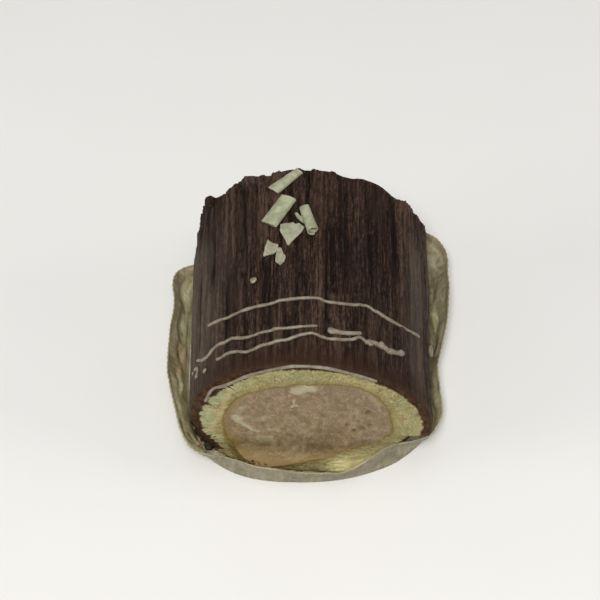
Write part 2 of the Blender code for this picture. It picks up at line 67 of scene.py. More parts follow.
# Roll
HALF_WIDTH = 34.8 * MM
AXIS_HEIGHT = 30.2 * MM                         # height at which the roll is widest
UPPER_HEIGHT = 29.5 * MM                        # from there to its top
LOWER_HEIGHT = 31.0 * MM                        # and down to its foot before it is pressed flat
TOP = AXIS_HEIGHT + UPPER_HEIGHT
HALF_LENGTH = 31.0 * MM
SLANT = 0.064                                   # both cuts run back towards the left
FRONT_LEAN = 0.064
BACK_LEAN = 0.088
CORNER_TUCK = 6.3 * MM                          # the paper presses the front cut's lower right corner back
CORNER_FROM = 12.0 * MM                         # from here to the right,
CORNER_WIDTH = 18.0 * MM                        # fully after this width,
CORNER_HEIGHT = 26.0 * MM                       # and below this height,
CORNER_FADE = 12.0 * MM                         # fully after this depth
FOOT_HEIGHT = 11.5 * MM                         # where the chocolate ends on both sides
BED = 0.75 * MM                                 # underside of the roll, on the paper
CAGE_SIZE = Vector((84.0, 74.0, 72.0)) * MM
CAGE_POINTS = (15, 2, 15)

# Chocolate coat
COAT_COLUMNS = 1200                             # round the whole roll
COAT_ROWS = 84
COAT_CUT_ROWS = 5                               # across its thickness, on both cuts
COAT_SIDE = 3.0 * MM                            # thickness at the sides
COAT_TOP = 1.8 * MM                             # thickness on top
FRONT_ROUNDING = (0.6 * MM, 0.18 * MM)          # its front edge is drawn in by this, row by row
# Where it is thicker or thinner: degrees round the roll, reach in mm, mm thicker
COAT_SWELLS = ((142, 20.0, 1.5), (205, 12.0, -1.0), (-32, 12.0, -1.0))
# Bites out of the back edge: degrees round the roll, reach in mm, depth in mm
BITES = ((156, 3.2, 1.8), (141, 5.0, 2.6), (132, 5.0, 2.4), (127, 6.0, 2.2), (112, 8.0, 1.4),
         (102, 8.0, 1.5), (72, 4.2, 0.9), (41, 8.0, 1.8), (25, 7.0, 1.2))
# Lumps and dents near the back edge: degrees, mm from the front, reach in mm, height in mm
LUMPS = ((148.5, 60.4, 2.6, 0.7), (120, 61.5, 4.0, 0.8), (104, 61.0, 3.8, 0.3),
         (38, 61.0, 4.9, 0.7), (172, 60.0, 14.0, -1.4))
KNOB = (146.5, 58.6, 0.5, 1.5)                  # a round lump: degrees, mm from the front, lift, radius
# Deep grooves: degrees, start and end in mm from the front, depth in mm
GROOVES = ((146, 30, 50, 0.9), (124, 38, 59, 0.45), (91, 40, 66, 0.35), (60, 20, 45, 0.4), (112, 14, 34, 0.5),
           (134, 8, 30, 0.5), (80, 24, 44, 0.35), (45, 34, 60, 0.5), (100, 2, 16, 0.4), (158, 12, 40, 0.5))
MM_PER_DEGREE = 0.56                            # on the roll's top
# Sides where the coat is rubbed smooth and lightened with a painted grey sheen: degrees round the roll, reach
# in degrees, strength
RUBBED_AND_SHEEN = ((28, 9.0, 0.8), (168, 36.0, 1.0))
# Low relief, here and below: name, grain in mm along x, y and z, depth in mm, detail, seed, hard or not
COAT_RELIEF = (("ribs", (3.4, 60, 3.4), 1.2, 1, 0.3, True),
               ("furrows", (1.4, 24, 1.4), 0.6, 1, 0.7, True),
               ("strokes", (0.7, 4, 0.7), 0.40, 2, 0.1),
               ("swell", (14, 30, 14), 0.7, 0, 0.5),
               ("chips", (1.3, 2.4, 1.3), 0.36, 2, 0.9))

# Mousse core, seen from the front
CORE_X = -1.2 * MM
CORE_Z = 29.4 * MM
CORE_HALF_WIDTH = 24.4 * MM
CORE_HALF_HEIGHT = 20.5 * MM
CORE_LOWEST = 2.2 * MM                          # it sinks no lower than this, on its bed of sponge
# Where it is fuller or slimmer: degrees round it, reach in mm, mm outwards
CORE_SWELLS = ((118, 12.0, -1.0), (158, 9.0, -1.0), (177, 4.0, -0.6), (-152, 8.0, 1.0), (55, 19.0, 3.2),
               (-55, 10.0, -3.0), (-116, 17.0, 9.4))
CORE_WOBBLES = tuple((angle, 2.6, 0.9 * noise.noise(Vector((angle / 11.0, 0.5, 0.5))))
                     for angle in range(0, 360, 8))
MOUSSE_ROWS = 55                                # from the border to the middle, on both cuts
MOUSSE_NARROWING = 50                           # the innermost hoop is this many times smaller
MOUSSE_RELIEF = (("soft", (8, 8, 11), 0.6, 1, 0.6),
                 ("spread", (1.8, 1.8, 3.2), 0.26, 2, 0.3),
                 ("bubbles", (0.8, 0.8, 1.5), -0.22, 2, 0.8, True))
CREAM_HEIGHT = 0.3 * MM
PIT_DEPTH = 0.5 * MM
# Small pits of its front: place across and up in mm, and radius in mm
PITS = ((16.2, 36.8, 0.7), (12.4, 26.0, 0.6), (14.6, 27.6, 0.8), (16.8, 29.6, 0.6), (10.4, 29.1, 0.5))
# Smears of cream on its front: width in mm, strength, and line of places across and up in mm
SMEARS = {
    "dab": (2.1, 0.95, ((-3.9, 46.4), (-2.4, 47.4), (-0.4, 48.2))),
    "tick": (0.36, 0.7, ((-4.9, 41.2), (-4.7, 39.4))),
    "tick_foot": (0.40, 0.9, ((-5.4, 37.7), (-4.6, 38.4), (-3.9, 38.3))),
    "swirl": (0.7, 0.22, ((-8.2, 26.8), (-7.3, 30.4), (-4.6, 31.5), (-2.8, 28.3), (-2.4, 23.9), (-5.1, 22.8))),
    "streak_top": (0.8, 0.4, ((-19.4, 35.4), (-20.6, 32.4))),
    "streak_bend": (1.2, 0.8, ((-21.3, 30.8), (-20.8, 28.4))),
    "streak_foot": (0.75, 0.75, ((-20.4, 27.6), (-18.8, 25.8), (-17.3, 24.4))),
    "streak_tip": (0.5, 0.6, ((-17.3, 24.4), (-14.9, 22.9))),
    "patch_a": (0.8, 0.5, ((-11.8, 24.1), (-9.9, 24.7), (-9.2, 23.4))),
    "patch_b": (0.8, 0.6, ((-13.4, 20.0), (-11.6, 19.6))),
    "patch_c": (1.2, 0.35, ((-14.8, 19.1), (-12.2, 18.4))),
    "patch_d": (1.3, 0.35, ((-8.2, 9.9), (-5.7, 10.9))),
    "patch_e": (0.9, 0.3, ((-19.7, 13.4), (-17.5, 14.7))),
    "patch_f": (0.8, 0.3, ((-4.3, 14.6), (-4.2, 13.2))),
    "patch_g": (0.9, 0.25, ((-3.9, 25.2), (-2.1, 28.6))),
    "patch_h": (1.0, 0.25, ((1.4, 32.4), (3.0, 32.0))),
    "patch_i": (1.2, 0.25, ((-16.8, 29.0), (-12.0, 31.0))),
}

# Sponge
CUT_COLUMNS = 720                               # round the sponge and the mousse
SPONGE_ROWS = 27                                # across the sponge, on both cuts
SPONGE_OUTSIDE_ROWS = 11                        # and along its outside
SPONGE_OVERLAP = 0.15 * MM                      # it reaches into the coat by this, so that no gap shows
# Below the coat's feet it is as wide as the roll: side, mm outwards, mm below the feet, reach in mm
FOOT_SPREADS = ((-1, 3.3, 0.4, 1.2), (1, 1.6, 2.0, 3.0))
PEACH_LINE = ((-22.4, 46.5), (-23.8, 40.5), (-25.5, 32.7), (-27.5, 26.4), (-31.0, 18.1))    # in mm
SPONGE_RELIEF = (("uneven", (6, 6, 6), 0.7, 1, 0.4),
                 ("pores", (1.7, 1.7, 1.7), -0.55, 2, 0.2, True),
                 ("crumb", (0.7, 0.7, 0.7), 0.3, 2, 0.9))
DRAWN_HEIGHT = 0.22 * MM
LIP_HEIGHT = 1.2 * MM

# White chocolate strings: degrees round the roll, and mm from its front edge;
# below zero, mm inwards over the front cut
STRINGS = {
    "back": ((148, 18.4), (132, 18.3), (115, 19.0), (98, 20.5), (88, 20.9), (84, 20.2),
             (70, 20.6), (63, 21.4), (58, 20.6), (51, 19.5), (25, 20.5)),
    "middle": ((158, 10.4), (149, 8.8), (140, 10.4), (131, 11.1), (120, 10.1), (111, 10.9),
               (104, 11.5), (86, 12.5)),
    "stub": ((81, 11.3), (77, 11.2), (72, 11.5), (66, 12.3)),
    "streak": ((158, 5.8), (157, 7.8), (161, 8.2)),
    "front": ((140, 6.2), (129, 6.8), (120, 5.8), (111, 7.0), (102, 8.0), (89, 10.0), (84, 8.9),
              (71, 9.8), (67, 10.9), (63, 9.8)),
    "front_end": ((65, 9.9), (60, 10.5), (56, 10.4), (52, 9.9), (47, 10.2), (43, 10.8)),
    "edge": ((162, -3.4), (157, -3.1), (150, -2.3), (145, -2.1), (141, -2.9), (135, -3.1), (128, -2.6),
             (121, -2.0), (114, -1.5), (103, -0.4), (95, 0.1), (86, 0.0), (80, -0.2), (71, -0.8),
             (64, -1.0), (57, -1.0)),
}
STRING_RADIUS = 0.44 * MM
STRING_STEPS = 14                               # from place to place
STRING_LIFT = 0.18 * MM                         # its middle stands this far over the coat
THICKER = {"stub": 1.3, "front_end": 1.6, "streak": 0.8}    # these strings' thickness against the others'
# Drops of the same: degrees, mm from the front, radius in mm
DROPS = ((149, 5.0, 0.6), (158, 5.6, 0.65), (164, 8.0, 0.45), (81, 11.3, 0.95), (62, 10.0, 0.8),
         (56, 10.6, 0.9), (44, 10.8, 0.9), (9, 21.6, 1.3), (118, 27.3, 0.85))

# Curls: degrees round the roll, mm from the front, heading in degrees from +X, length in mm,
# radii in mm, slants of its near and its far end, and how far the near end faces up
CURLS = {
    "curl_1": (100.5, 56.5, 41.0, 10.0, (1.95, 1.30), (0.27, 0.0), -0.5),
    "curl_2": (103.3, 45.9, 55.0, 9.9, (2.85, 2.75), (0.17, 0.34), -0.45),
    "curl_3": (90.8, 44.2, 108.0, 8.2, (2.05, 1.70), (0.0, 0.0), 0.0),
}
CURL_TURNS = 1.3
CURL_STEPS = 60                                 # faces round it
CURL_ROWS = 25                                  # and along it
CURL_SHEET = 0.5 * MM
CURL_EDGE = 0.12 * MM                           # rounding of its edges, and of the flakes'
CURL_START = -80.0                              # degrees; the sheet's outer edge is low on the right
CURL_INSIDE = 0.44                              # the innermost turn's share of the outermost
CURL_FAR_UP = 0.3                               # how far the far end faces up
# Flakes: degrees, mm from the front, tilt in degrees, bend per mm, outline in mm
FLAKES = {
    "flake": (98.3, 40.8, 8.0, 0.055,
              ((-3.5, 2.3), (-1.8, 2.7), (0.3, 2.9), (0.9, 2.2), (1.9, 2.4), (3.5, 0.6), (3.0, -0.2),
               (1.4, -1.6), (0.0, -2.8), (-1.0, -4.1), (-1.5, -4.1), (-2.2, -2.3), (-3.6, 0.2))),
    "shard_1": (108.4, 35.7, -10.0, 0.04,
                ((-0.8, 2.9), (0.6, 1.7), (2.1, 1.3), (2.0, -0.6), (0.7, -1.5), (-0.6, -1.9), (-2.0, -2.4),
                 (-1.6, 0.4))),
    "shard_2": (104.2, 33.4, 12.0, 0.04,
                ((-0.6, 2.5), (0.6, 2.2), (1.0, 0.5), (1.9, -0.8), (1.4, -2.2), (0.2, -3.1), (-1.3, -1.8),
                 (-1.1, 0.3))),
}
# Torn off along the left of curl_3, as a flake
SPLINTER = (94.4, 44.6, 14.0, 0.1,
            ((-1.9, 2.2), (-1.1, 2.3), (-0.2, 1.2), (1.0, 0.6), (1.6, -1.6), (0.9, -1.4), (-0.2, -0.4),
             (-1.3, 0.9)))
FLAKE_SHEET = 0.65 * MM
REST_LIFT = 0.6 * MM                            # what lies on the coat stands this far over its smooth form

# Paper case
PAPER = 0.4 * MM
CASE_X = -0.6 * MM                              # the case is a little to the left of the roll
CASE_FOOT = (36.6 * MM, 38.3 * MM)              # half-width and half-length on the table
CASE_RIM = (41.2 * MM, 42.6 * MM)               # the same at the rim
CASE_CORNER = (4.6 * MM, 5.1 * MM)              # corners of the foot and the rim are pushed out by this
CASE_CORNER_REACH = (28.0 * MM, 32.0 * MM)
CASE_HEIGHT = 15.0 * MM
CASE_ROWS = 27                                  # up its wall
PLEATS = 176
PLEAT_DEPTH = (0.06 * MM, 0.14 * MM)            # at the foot and at the rim
PLEAT_POINTS = 4                                # bottom, side, ridge, side
# Places where the foot and the rim are pushed out or in: degrees, reach in mm, mm outwards, mm upwards
FOOT_PUSHES = ((-36, 8.8, 0.2, 0.0), (-56, 16.0, -0.7, 0.0), (-66, 27.6, -0.6, 0.0), (-114, 12.0, 0.2, 0.0))
RIM_PUSHES = ((41, 21.5, 7.6, 1.2), (19, 12.4, 1.5, 1.5), (-12, 14.3, -2.1, -1.0), (-37, 15.6, 1.1, -3.4),
              (-54, 19.5, -5.4, -0.7), (-119, 27.3, -2.0, 2.0), (-135, 13.0, 2.4, -1.3), (177, 36.4, 0.9, -0.2),
              (166, 9.8, -0.6, 0.1), (147, 9.1, 3.5, -2.0), (126, 22.8, -3.0, -2.6), (-113, 17.0, 0.0, -2.4))
# Its wall's relief, each with the part of the wall that it is on, and the creases turned a little
CASE_RELIEF = (("wall", ("dents", (11, 11, 8), 1.3, 1, 0.35)),
               ("middle", ("folds", (8, 8, 18), 0.9, 0, 0.55, True)),
               ("middle", ("creases", (22, 22, 5), 0.9, 0, 0.15, True, (8, -6, 0))),
               ("wall", ("crinkles", (1.8, 1.8, 2.4), 0.18, 2, 0.85)))

# Crumbs fallen into the case on the left: place in mm from the middle of the case's floor, and radius in mm
DARK_CRUMBS = ((-34.0, -19.0, 3.6, 1.6), (-32.9, -22.4, 3.6, 1.7), (-31.4, -24.6, 3.4, 1.6),
               (-30.1, -29.7, 7.8, 1.3), (-29.2, -26.8, 3.4, 1.4), (-31.4, -22.6, 2.8, 1.8),
               (-28.6, -26.2, 2.4, 1.2))
CAKE_CRUMBS = ((-32.9, -31.7, 13.9, 0.65), (-32.0, -32.2, 12.7, 0.4))

FLOOR_SIZE = 6.0
FLOOR_DROP = 0.05 * MM


# ---------------------------------------------------------------- working by hand

def take(piece):
    """Make this the only selected piece, and the active one."""
    bpy.ops.object.select_all(action="DESELECT")
    piece.select_set(True)
    bpy.context.view_layer.objects.active = piece


def start(name, add, **values):
    """Add a new piece, with nothing else selected."""
    bpy.ops.object.select_all(action="DESELECT")
    add(**values)
    piece = bpy.context.object
    piece.name = name
    return piece


def settle(piece):
    """Put a piece's place, turn and size into its mesh."""
    take(piece)
    bpy.ops.object.transform_apply()


def open_mesh(piece):
    """Edit one piece, with nothing selected."""
    take(piece)
    bpy.ops.object.mode_set(mode="EDIT")
    bpy.ops.mesh.select_mode(type="VERT")
    bpy.ops.mesh.select_all(action="DESELECT")


def close_mesh():
    bpy.ops.object.mode_set(mode="OBJECT")


def pick_all():
    bpy.ops.mesh.select_all(action="SELECT")


def mark(piece, kind, chosen, only_open=False):
    """While editing, select the points or edges that are chosen, or only the open edges among them."""
    bpy.ops.mesh.select_mode(type=kind)
    bpy.ops.mesh.select_all(action="DESELECT")
    if only_open:
        bpy.ops.mesh.select_non_manifold(extend=False)
    bpy.ops.object.mode_set(mode="OBJECT")
    parts = piece.data.vertices if kind == "VERT" else piece.data.edges
    parts.foreach_set("select", [(part.select or not only_open) and bool(chosen(part)) for part in parts])
    bpy.ops.object.mode_set(mode="EDIT")


def pick(piece, test):
    """While editing, select the points whose place passes the test, and what lies between them."""
    mark(piece, "VERT", lambda point: test(point.co))


def pick_open_edges(piece, test):
    """While editing, select the open edges of the mesh whose two ends pass the test."""
    def chosen(edge):
        return all(test(piece.data.vertices[i].co) for i in edge.vertices)

    mark(piece, "EDGE", chosen, only_open=True)


def nudge(move, reach):
    """Move what is selected and draw along what lies within reach."""
    bpy.ops.transform.translate(value=move, use_proportional_edit=True, proportional_edit_falloff="SMOOTH",
                                proportional_size=reach)


def stretch(scale, about):
    bpy.ops.transform.resize(value=scale, center_override=about)


def bridge(cuts):
    """Join the selected loops by straight strips of faces."""
    bpy.ops.mesh.bridge_edge_loops(number_cuts=cuts, interpolation="LINEAR")


def join(pieces):
    """Make one piece of several, named as the first."""
    take(pieces[0])
    for piece in pieces[1:]:
        piece.select_set(True)
    bpy.ops.object.join()
    return bpy.context.object


def apply_modifiers(piece):
    take(piece)
    for modifier in list(piece.modifiers):
        bpy.ops.object.modifier_apply(modifier=modifier.name)


def relief(piece, group, name, size, depth, detail=2, seed=0.0, hard=False, turn=(0, 0, 0)):
    """Raise and sink a surface by a cloudy pattern: its grain along x, y and z and its depth in mm."""
    ruler = start("ruler", bpy.ops.object.empty_add, location=(seed, seed, seed),
                  rotation=[math.radians(angle) for angle in turn])
    ruler.scale = [length * MM for length in size]
    cloud = bpy.data.textures.new(name, "CLOUDS")
    cloud.noise_scale = 1.0
    cloud.noise_depth = detail
    cloud.noise_type = "HARD_NOISE" if hard else "SOFT_NOISE"
    waves = piece.modifiers.new(name, "DISPLACE")
    waves.texture = cloud
    waves.texture_coords = "OBJECT"
    waves.texture_coords_object = ruler
    waves.strength = depth * MM
    waves.mid_level = 0.5
    waves.vertex_group = group
    apply_modifiers(piece)
    bpy.data.objects.remove(ruler, do_unlink=True)


def raise_by(piece, group, height):
    """Raise a surface by the weights of a group."""
    raised = piece.modifiers.new(group, "DISPLACE")
    raised.strength = height
    raised.mid_level = 0.0
    raised.vertex_group = group
    apply_modifiers(piece)


def weigh(piece, name, weight_at):
    """A vertex group whose weight is worked out from each point's place."""
    group = piece.vertex_groups.new(name=name)
    for point in piece.data.vertices:
        weight = weight_at(point.co)
        if weight > 0.0:
            group.add([point.index], weight, "REPLACE")


def paint(piece, name, value_at):
    """A value painted on each point, for the piece's material to read."""
    layer = piece.data.attributes.new(name, "FLOAT", "POINT")
    layer.data.foreach_set("value", [value_at(point.co) for point in piece.data.vertices])


def smooth(piece, angle=40.0):
    take(piece)
    bpy.ops.object.shade_smooth_by_angle(angle=math.radians(angle), keep_sharp_edges=True)


def face_out(piece):
    """Turn every face outwards."""
    open_mesh(piece)
    pick_all()
    bpy.ops.mesh.normals_make_consistent(inside=False)
    close_mesh()


def ease(value):
    value = min(max(value, 0.0), 1.0)
    return value * value * (3.0 - 2.0 * value)


def speck(place, size, seed=0.0):
    """Smooth random value from -1 to 1 with grain of this size."""
    return noise.noise(Vector(place) / size + Vector((seed, seed, seed)))


# ---------------------------------------------------------------- the roll's form

def around(angle, grow=0.0):
    """X and Z of the straight roll's outline, degrees from +X towards +Z."""
    turn = math.radians(angle)
    height = UPPER_HEIGHT if math.sin(turn) > 0 else LOWER_HEIGHT
    return ((HALF_WIDTH + grow) * math.cos(turn), AXIS_HEIGHT + (height + grow) * math.sin(turn))


def on_roll(angle, distance, lift=0.0):
    """Point of the straight roll, distance from its front edge; below zero, inwards over the front cut."""
    if distance < 0:
        x, z = around(angle, distance)
        return Vector((x, -HALF_LENGTH - lift, z))
    x, z = around(angle, lift)
    return Vector((x, distance - HALF_LENGTH, z))


def upright_at(angle):
    """Turn of a thing that lies on the roll: its x goes round to the right, y along, z outwards."""
    across = (on_roll(angle - 1, 0) - on_roll(angle + 1, 0)).normalized()
    along = Vector((0, 1, 0))
    return Matrix((across, along, across.cross(along).normalized())).transposed().to_4x4()


def lying_at(angle, distance, lift):
    """Place and turn of a thing that lies on the roll, distance in mm from its front edge."""
    return Matrix.Translation(on_roll(angle, distance * MM, lift)) @ upright_at(angle)


def outward_at(angle):
    return upright_at(angle).col[2].to_3d()


def closeness(place):
    """1 on the roll's outline, less inside."""
    height = UPPER_HEIGHT if place.z > AXIS_HEIGHT else LOWER_HEIGHT
    return math.hypot(place.x / HALF_WIDTH, (place.z - AXIS_HEIGHT) / height)


def angle_at(p):
    """Degrees round the roll."""
    height = UPPER_HEIGHT if p.z > AXIS_HEIGHT else LOWER_HEIGHT
    return math.degrees(math.atan2((p.z - AXIS_HEIGHT) / height, p.x / HALF_WIDTH))


def slant_at(x, y, z):
    """How far along Y a point of the straight roll is shifted by the slant of the cuts."""
    tuck = CORNER_TUCK * ease((x - CORNER_FROM) / CORNER_WIDTH) * ease((CORNER_HEIGHT - z) / CORNER_FADE)
    front = -HALF_LENGTH - SLANT * x - FRONT_LEAN * (TOP - z) + tuck
    back = HALF_LENGTH - SLANT * x + BACK_LEAN * (z - AXIS_HEIGHT)
    share = (y + HALF_LENGTH) / (2 * HALF_LENGTH)
    return front + (back - front) * share - y


def make_slanting_cage():
    """A lattice round the straight roll that gives every piece of it the slant of the cuts."""
    cage = start("slanting_cage", bpy.ops.object.add, type="LATTICE", location=(0, 0, CAGE_SIZE.z / 2))
    cage.scale = CAGE_SIZE
    for axis, points in zip("uvw", CAGE_POINTS):
        setattr(cage.data, "points_" + axis, points)
        setattr(cage.data, "interpolation_type_" + axis, "KEY_LINEAR")
    for point in cage.data.points:
        x, y, z = (point.co[i] * CAGE_SIZE[i] for i in range(3))
        shift = Vector((0, slant_at(x, y, z + CAGE_SIZE.z / 2), 0)) + CENTRING
        point.co_deform = [point.co[i] + shift[i] / CAGE_SIZE[i] for i in range(3)]
    return cage


def lay_slanted(piece, cage):
    """Bring a finished straight piece to its place in the frame."""
    piece.modifiers.new("slant", "LATTICE").object = cage
    apply_modifiers(piece)


def bite_back_edge(piece, depth_inside):
    """Break away the back edge where the roll's is uneven."""
    open_mesh(piece)
    for angle, reach, depth in BITES:
        x, z = around(angle, -depth_inside)
        pick(piece, lambda p: p.y > HALF_LENGTH - 0.1 * MM and math.hypot(p.x - x, p.z - z) < 0.9 * MM)
        nudge((0, -depth * MM, 0), reach * MM)
    close_mesh()


def make_hoop(name, columns, middle, half_width, half_height):
    """A closed line round the roll's axis, at the front cut."""
    hoop = start(name, bpy.ops.mesh.primitive_circle_add, vertices=columns, radius=1.0, location=(0, 0, 0),
                 rotation=(math.radians(90), 0, 0))
    settle(hoop)
    open_mesh(hoop)
    pick_all()
    stretch((half_width, 1, half_height), (0, 0, 0))
    bpy.ops.transform.translate(value=(middle[0], -HALF_LENGTH, middle[1]))
    close_mesh()
    return hoop


def push_hoop(hoop, middle, half_width, half_height, swells):
    """Push a hoop out or in by places: degrees round it, reach and way out in mm."""
    open_mesh(hoop)
    for angle, reach, out in swells:
        turn = math.radians(angle)
        away = Vector((math.cos(turn), 0, math.sin(turn)))
        place = Vector((middle[0] + half_width * away.x, -HALF_LENGTH, middle[1] + half_height * away.z))
        pick(hoop, lambda p: (p - place).length < 0.6 * MM)
        nudge(away * out * MM, reach * MM)
    close_mesh()


def lower_half(hoop):
    """Stretch a hoop's lower half down to the roll's foot; the mesh stays open."""
    open_mesh(hoop)
    pick(hoop, lambda p: p.z < AXIS_HEIGHT)
    stretch((1, 1, LOWER_HEIGHT / UPPER_HEIGHT), (0, 0, AXIS_HEIGHT))


def flatten_below(hoop, height):
    open_mesh(hoop)
    pick(hoop, lambda p: p.z < height)
    stretch((1, 1, 0), (0, 0, height))
    close_mesh()


def draw_out(hoop, cuts=0):
    """Draw a hoop out into a wall, from the front cut to the back cut."""
    def runs_along(edge):
        a, b = (hoop.data.vertices[i].co.y for i in edge.vertices)
        return abs(a - b) > MM

    open_mesh(hoop)
    pick_all()
    bpy.ops.mesh.extrude_region_move(TRANSFORM_OT_translate={"value": (0, 2 * HALF_LENGTH, 0)})
    if cuts:
        mark(hoop, "EDGE", runs_along)
        bpy.ops.mesh.subdivide(number_cuts=cuts)
    close_mesh()


def close_cuts(piece, rows):
    """Close both ends of a piece with rows of faces between its two hoops."""
    for end in (-HALF_LENGTH, HALF_LENGTH):
        open_mesh(piece)
        pick_open_edges(piece, lambda p: abs(p.y - end) < 0.01 * MM)
        bridge(rows)
        close_mesh()


def fill_holes(piece):
    open_mesh(piece)
    pick_open_edges(piece, lambda p: True)
    bpy.ops.mesh.fill_holes(sides=0)
    close_mesh()
    face_out(piece)


# ---------------------------------------------------------------- chocolate coat

def thin_coat(hoop, margin=0.0):
    """Draw a hoop on the roll's outline in to the inside of the coat."""
    thin = (1 - (COAT_SIDE - margin) / HALF_WIDTH, 1 - (COAT_TOP - margin) / UPPER_HEIGHT)
    open_mesh(hoop)
    pick_all()
    stretch((thin[0], 1, thin[1]), (0, -HALF_LENGTH, AXIS_HEIGHT))
    close_mesh()
    inwards = [(angle, reach, -thicker) for angle, reach, thicker in COAT_SWELLS]
    push_hoop(hoop, (0, AXIS_HEIGHT), HALF_WIDTH * thin[0], UPPER_HEIGHT * thin[1], inwards)


def make_lump(radius, turn, seed):
    """An uneven lump, with its radius in mm."""
    lump = start("lump", bpy.ops.mesh.primitive_ico_sphere_add, subdivisions=5, radius=radius * MM)
    open_mesh(lump)
    pick(lump, lambda p: p.x > 0.8 * radius * MM)
    nudge((0.5 * radius * MM, 0.2 * radius * MM, 0), 1.3 * radius * MM)
    close_mesh()
    lump.rotation_euler = (turn, 2 * turn, 3 * turn)
    settle(lump)
    relief(lump, "", "lumpy", (1.1, 1.1, 1.1), 0.8 * radius, 2, seed)
    relief(lump, "", "crumbly", (0.4, 0.4, 0.4), 0.25, 2, turn)
    return lump


def make_coat():
    coat = make_hoop("chocolate_coat", COAT_COLUMNS, (0, AXIS_HEIGHT), HALF_WIDTH, UPPER_HEIGHT)
    lower_half(coat)
    pick(coat, lambda p: p.z < FOOT_HEIGHT)
    bpy.ops.mesh.delete(type="VERT")
    close_mesh()
    take(coat)
    bpy.ops.object.duplicate()
    lining = bpy.context.object
    thin_coat(lining)
    draw_out(coat, COAT_ROWS - 1)
    draw_out(lining)
    coat = join([coat, lining])
    close_cuts(coat, COAT_CUT_ROWS)
    fill_holes(coat)
    row = 2 * HALF_LENGTH / COAT_ROWS
    open_mesh(coat)
    for number, depth in enumerate(FRONT_ROUNDING):
        pick(coat, lambda p: abs(p.y + HALF_LENGTH - number * row) < 0.1 * MM and closeness(p) > 0.999)
        shrink = 1 - depth / HALF_WIDTH
        stretch((shrink, 1, shrink), (0, -HALF_LENGTH, AXIS_HEIGHT))
    close_mesh()
    return coat


def rubbed_and_sheen_at(p):
    """1 where the coat's sides are rubbed smooth, and where a painted grey sheen lightens them."""
    angle = angle_at(p) + 3.0 * speck(p, 12 * MM, 4.0)
    far = ease((54.0 - (p.y + HALF_LENGTH) / MM) / 12.0)
    return far * max(strength * ease(1.3 - abs(angle - middle) / reach) for middle, reach, strength in RUBBED_AND_SHEEN)


def groove_shade_at(p):
    """1 in a deep groove, which the finish darkens with painted shade."""
    here = angle_at(p) + 1.6 * speck(p, 7 * MM, 7.0)
    along = (p.y + HALF_LENGTH) / MM
    deepest = 0.0
    for angle, first, last, depth in GROOVES:
        if first < along < last and abs(here - angle) < 4.0:
            inside = ease((along - first) / 6.0) * ease((last - along) / 6.0)
            deepest = max(deepest, inside * ease(1.4 - abs(here - angle) * MM_PER_DEGREE / depth))
    return deepest


def combing(p):
    """1 on the coat's outside, less where it is rubbed and at the front edge."""
    if closeness(p) < 0.998:
        return 0.0
    return (0.25 + 0.75 * ease((p.y + HALF_LENGTH) / (4.0 * MM))) * (1.0 - 0.5 * rubbed_and_sheen_at(p))


def comb_coat(coat):
    """Ridges along the roll, deeper towards the back and almost gone at the front edge."""
    weigh(coat, "combed", combing)
    for pattern in COAT_RELIEF:
        relief(coat, "combed", *pattern)
    open_mesh(coat)
    for angle, first, last, depth in GROOVES:
        middle = on_roll(angle, (first + last) / 2 * MM)
        half = (last - first) / 2 * MM
        pick(coat, lambda p: math.hypot(p.x - middle.x, p.z - middle.z) < 0.9 * MM
             and abs(p.y - middle.y) < half and closeness(p) > 0.96)
        nudge(-outward_at(angle) * depth * MM, 1.6 * MM)
    for angle, distance, reach, height in LUMPS:
        place = on_roll(angle, distance * MM)
        pick(coat, lambda p: (p - place).length < 0.8 * MM)
        nudge(outward_at(angle) * height * MM, reach * MM)
    close_mesh()


def build_coat():
    angle, distance, lift, radius = KNOB
    knob = make_lump(radius, 0.5, 0.3)
    paint(knob, "from_front", lambda p: distance)
    paint(knob, "height", lambda p: -0.9)           # the darkest end of the painted furrow shade, as dark as the bottom of a furrow
    knob.location = on_roll(angle, distance * MM, lift * MM)
    settle(knob)
    coat = make_coat()
    paint(coat, "from_front", lambda p: (p.y + HALF_LENGTH) / MM)
    paint(coat, "cut", lambda p: ease((1.0 - closeness(p)) / 0.03))
    paint(coat, "rubbed_and_sheen", rubbed_and_sheen_at)
    paint(coat, "groove_shade", groove_shade_at)
    comb_coat(coat)
    # how far a point stands over the smooth roll, in mm; the finish darkens low points and lightens high ones,
    # as painted shade and painted sheen
    paint(coat, "height", lambda p: (closeness(p) - 1.0) * UPPER_HEIGHT / MM)
    bite_back_edge(coat, 0.0)
    coat = join([coat, knob])
    face_out(coat)
    return coat


# ---------------------------------------------------------------- sponge and mousse

def make_core_hoop(name):
    """The border between sponge and mousse."""
    hoop = make_hoop(name, CUT_COLUMNS, (CORE_X, CORE_Z), CORE_HALF_WIDTH, CORE_HALF_HEIGHT)
    push_hoop(hoop, (CORE_X, CORE_Z), CORE_HALF_WIDTH, CORE_HALF_HEIGHT, CORE_SWELLS + CORE_WOBBLES)
    flatten_below(hoop, CORE_LOWEST)
    return hoop


def line_finder(hoop):
    """Finds the nearest place on a hoop."""
    points = hoop.data.vertices
    finder = kdtree.KDTree(len(points))
    for point in points:
        finder.insert((point.co.x, 0, point.co.z), point.index)
    finder.balance()
    return finder


def mm_from(line, p):
    return line.find((p.x, 0, p.z))[2] / MM


